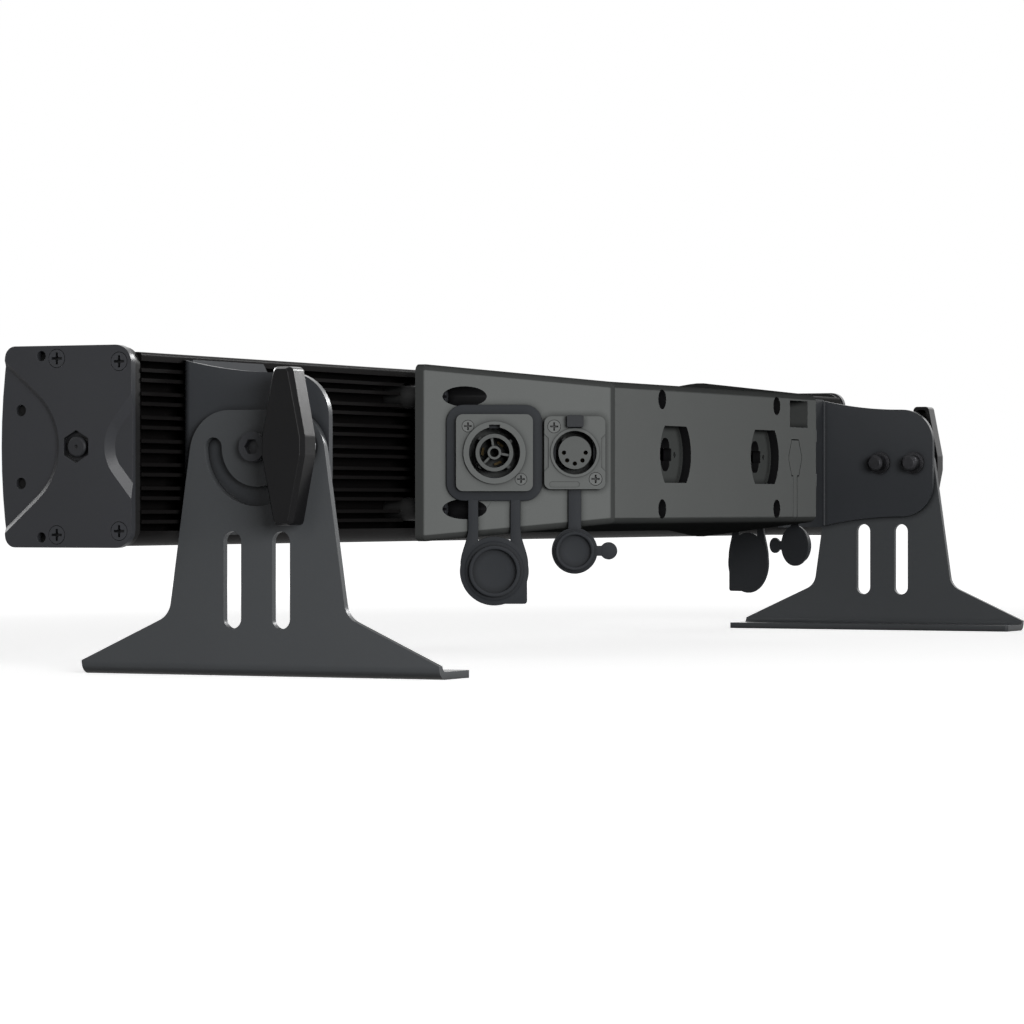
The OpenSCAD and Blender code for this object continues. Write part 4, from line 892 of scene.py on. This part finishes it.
class WASHER_OT_fasteners(bpy.types.Operator):
    """Screws, nuts, studs and washers."""

    bl_idname = "washer.fasteners"
    bl_label = "Finish the fasteners"

    def execute(self, context):
        colours, shape = context.scene.washer_colours, context.scene.washer_shape
        black = metal("blackened steel", tuple(colours.steel), 0.42)
        painted = coat("painted screws", shade(colours.end_cap, 1.1), 0.4)
        bright = metal("plain steel", tuple(colours.washer), 0.3)
        small = shape.moulded_edge * SMALL_EDGE
        for name in ("cap_screws", "housing_screws", "ear_screws", "pivot_screws"):
            finish_node(name, painted, small)
        for name in ("ear_nuts", "knob_stud_left", "knob_stud_right"):
            finish_node(name, black, small)
        for side in ("left", "right"):
            finish_node(f"knob_washer_{side}", bright, small)
        return {"FINISHED"}


class WASHER_OT_knobs(bpy.types.Operator):
    """Long wing knobs."""

    bl_idname = "washer.knobs"
    bl_label = "Finish the wing knobs"

    def execute(self, context):
        colours, shape = context.scene.washer_colours, context.scene.washer_shape
        tint = tuple(colours.knob)
        plastic = coat("knob plastic", tint, 0.3, grain=1600, depth=0.03, specular=0.08)
        for side in ("left", "right"):
            finish_node(f"knob_{side}", plastic, shape.knob_edge, segments=3, limit=12)
        return {"FINISHED"}


def area_light(name, place, target, size, power, only_glints=False):
    """A rectangular lamp that faces target. A lamp that only glints isn't seen by matt surfaces."""
    data = bpy.data.lights.new(name, "AREA")
    data.shape = "RECTANGLE"
    data.size, data.size_y = size
    data.energy = power
    lamp = bpy.data.objects.new(name, data)
    lamp.visible_diffuse = not only_glints
    lamp.location = place
    lamp.rotation_euler = (Vector(target) - Vector(place)).to_track_quat("-Z", "Y").to_euler()
    bpy.context.scene.collection.objects.link(lamp)


def seen_directly(wire):
    """1 for camera, glossy and transmitted rays, 0 for the light that the object receives."""
    path = wire.node("ShaderNodeLightPath")
    outputs = path.socket.node.outputs
    camera, glossy, through = (
        Wire(wire.tree, outputs[f"Is {kind} Ray"]) for kind in ("Camera", "Glossy", "Transmission")
    )
    return (camera + glossy + through) > 0.5


class WASHER_OT_stage(bpy.types.Operator):
    """Pale floor, soft studio lights, white surroundings and the camera."""

    bl_idname = "washer.stage"
    bl_label = "Set the stage"

    def execute(self, context):
        scene, levels = context.scene, context.scene.washer_stage
        world = bpy.data.worlds.new("white surroundings")
        world.use_nodes = True
        world.node_tree.nodes.clear()
        wire = Wire(world.node_tree)
        shown = seen_directly(wire)
        strength = shown * (1 - levels.ambient) + levels.ambient
        white = {"Color": (1, 1, 1, 1), "Strength": strength}
        light = wire.node("ShaderNodeBackground", None, white)
        wire.node("ShaderNodeOutputWorld", None, {"Surface": light})
        scene.world = world

        floor_material, wire = new_tree("pale floor")
        matt = wire.node("ShaderNodeBsdfDiffuse", None, {"Color": (0.8, 0.8, 0.8, 1)})
        dim = wire.node("ShaderNodeBsdfDiffuse", None, {"Color": (0.25, 0.25, 0.25, 1)})
        place = wire.node("ShaderNodeTexCoord", output=3)
        distance = wire.node("ShaderNodeVectorMath", {"operation": "LENGTH"}, {0: place}, output=1)
        # The floor's own glow is least below the object and full from glow_full metres out
        glow_least, glow_from, glow_full = 0.72, 0.6, 1.6
        far = wire.node(
            "ShaderNodeMapRange",
            None,
            {0: distance, 1: glow_from, 2: glow_full, 3: glow_least, 4: 1.0},
        )
        glow = wire.node("ShaderNodeEmission", None, {"Color": (1, 1, 1, 1), "Strength": far})
        lit = wire.node("ShaderNodeAddShader", None, {0: matt, 1: glow})
        shown = seen_directly(wire)
        mixed = wire.node("ShaderNodeMixShader", None, {0: shown, 1: dim, 2: lit})
        wire.node("ShaderNodeOutputMaterial", None, {"Surface": mixed})
        mesh = bmesh.new()
        bmesh.ops.create_grid(mesh, x_segments=1, y_segments=1, size=14)
        data = bpy.data.meshes.new("floor")
        mesh.to_mesh(data)
        mesh.free()
        data.materials.append(floor_material)
        floor = bpy.data.objects.new("floor", data)
        scene.collection.objects.link(floor)

        area_light("key", (-1.25, -1.15, 0.3), (0, 0, 0.08), (0.8, 0.5), levels.key_power)
        for name, place, target, size, power in (
            ("rim", (-0.3, 1.1, 0.65), (-0.4, 0, 0.1), (1.0, 0.4), levels.rim_power),
            ("glint", (-1.62, 0.08, 0.52), (-0.38, 0.02, 0.09), (0.3, 0.4), levels.glint_power),
            ("side", (0.95, -0.75, 0.75), (-0.33, -0.05, 0.12), (0.5, 0.5), levels.side_power),
        ):
            area_light(name, place, target, size, power, only_glints=True)
        area_light("fill", (0.8, 1.6, 0.4), (0, 0, 0.08), (1.2, 0.8), levels.fill_power)

        camera_data = bpy.data.cameras.new("camera")
        camera_data.lens, camera_data.sensor_width = CAMERA_LENS, CAMERA_SENSOR
        camera_data.shift_y = CAMERA_SHIFT
        camera_data.clip_start, camera_data.clip_end = 0.05, 60
        camera = bpy.data.objects.new("camera", camera_data)
        camera.location = CAMERA_PLACE
        camera.rotation_euler = (math.radians(90), 0, math.radians(CAMERA_TURN))
        scene.collection.objects.link(camera)
        scene.camera = camera
        scene.view_settings.view_transform = "Standard"
        return {"FINISHED"}


class WASHER_PT_panel(bpy.types.Panel):
    """Lists the steps in order."""

    bl_idname = "WASHER_PT_panel"
    bl_label = "Wall washer"
    bl_space_type = "VIEW_3D"
    bl_region_type = "UI"
    bl_category = "Wall washer"

    def draw(self, context):
        for operator in STEPS:
            self.layout.operator(operator.bl_idname)
        scene = context.scene
        for settings in (scene.washer_colours, scene.washer_shape, scene.washer_stage):
            column = self.layout.column(align=True)
            for name in settings.__annotations__:
                column.prop(settings, name)


STEPS = (
    WASHER_OT_bar,
    WASHER_OT_end_caps,
    WASHER_OT_housing,
    WASHER_OT_sockets,
    WASHER_OT_rubber_covers,
    WASHER_OT_contacts,
    WASHER_OT_light_side,
    WASHER_OT_sheet_metal,
    WASHER_OT_fasteners,
    WASHER_OT_knobs,
    WASHER_OT_stage,
)
SETTINGS = (WasherColours, WasherShape, WasherStage)
CLASSES = (*SETTINGS, *STEPS, WASHER_PT_panel)


def register():
    for cls in CLASSES:
        bpy.utils.register_class(cls)
    bpy.types.Scene.washer_colours = bpy.props.PointerProperty(type=WasherColours)
    bpy.types.Scene.washer_shape = bpy.props.PointerProperty(type=WasherShape)
    bpy.types.Scene.washer_stage = bpy.props.PointerProperty(type=WasherStage)


def unregister():
    del bpy.types.Scene.washer_stage
    del bpy.types.Scene.washer_shape
    del bpy.types.Scene.washer_colours
    for cls in reversed(CLASSES):
        bpy.utils.unregister_class(cls)


def main():
    register()
    for operator in STEPS:
        group, name = operator.bl_idname.split(".")
        getattr(getattr(bpy.ops, group), name)()


if __name__ == "__main__":
    main()
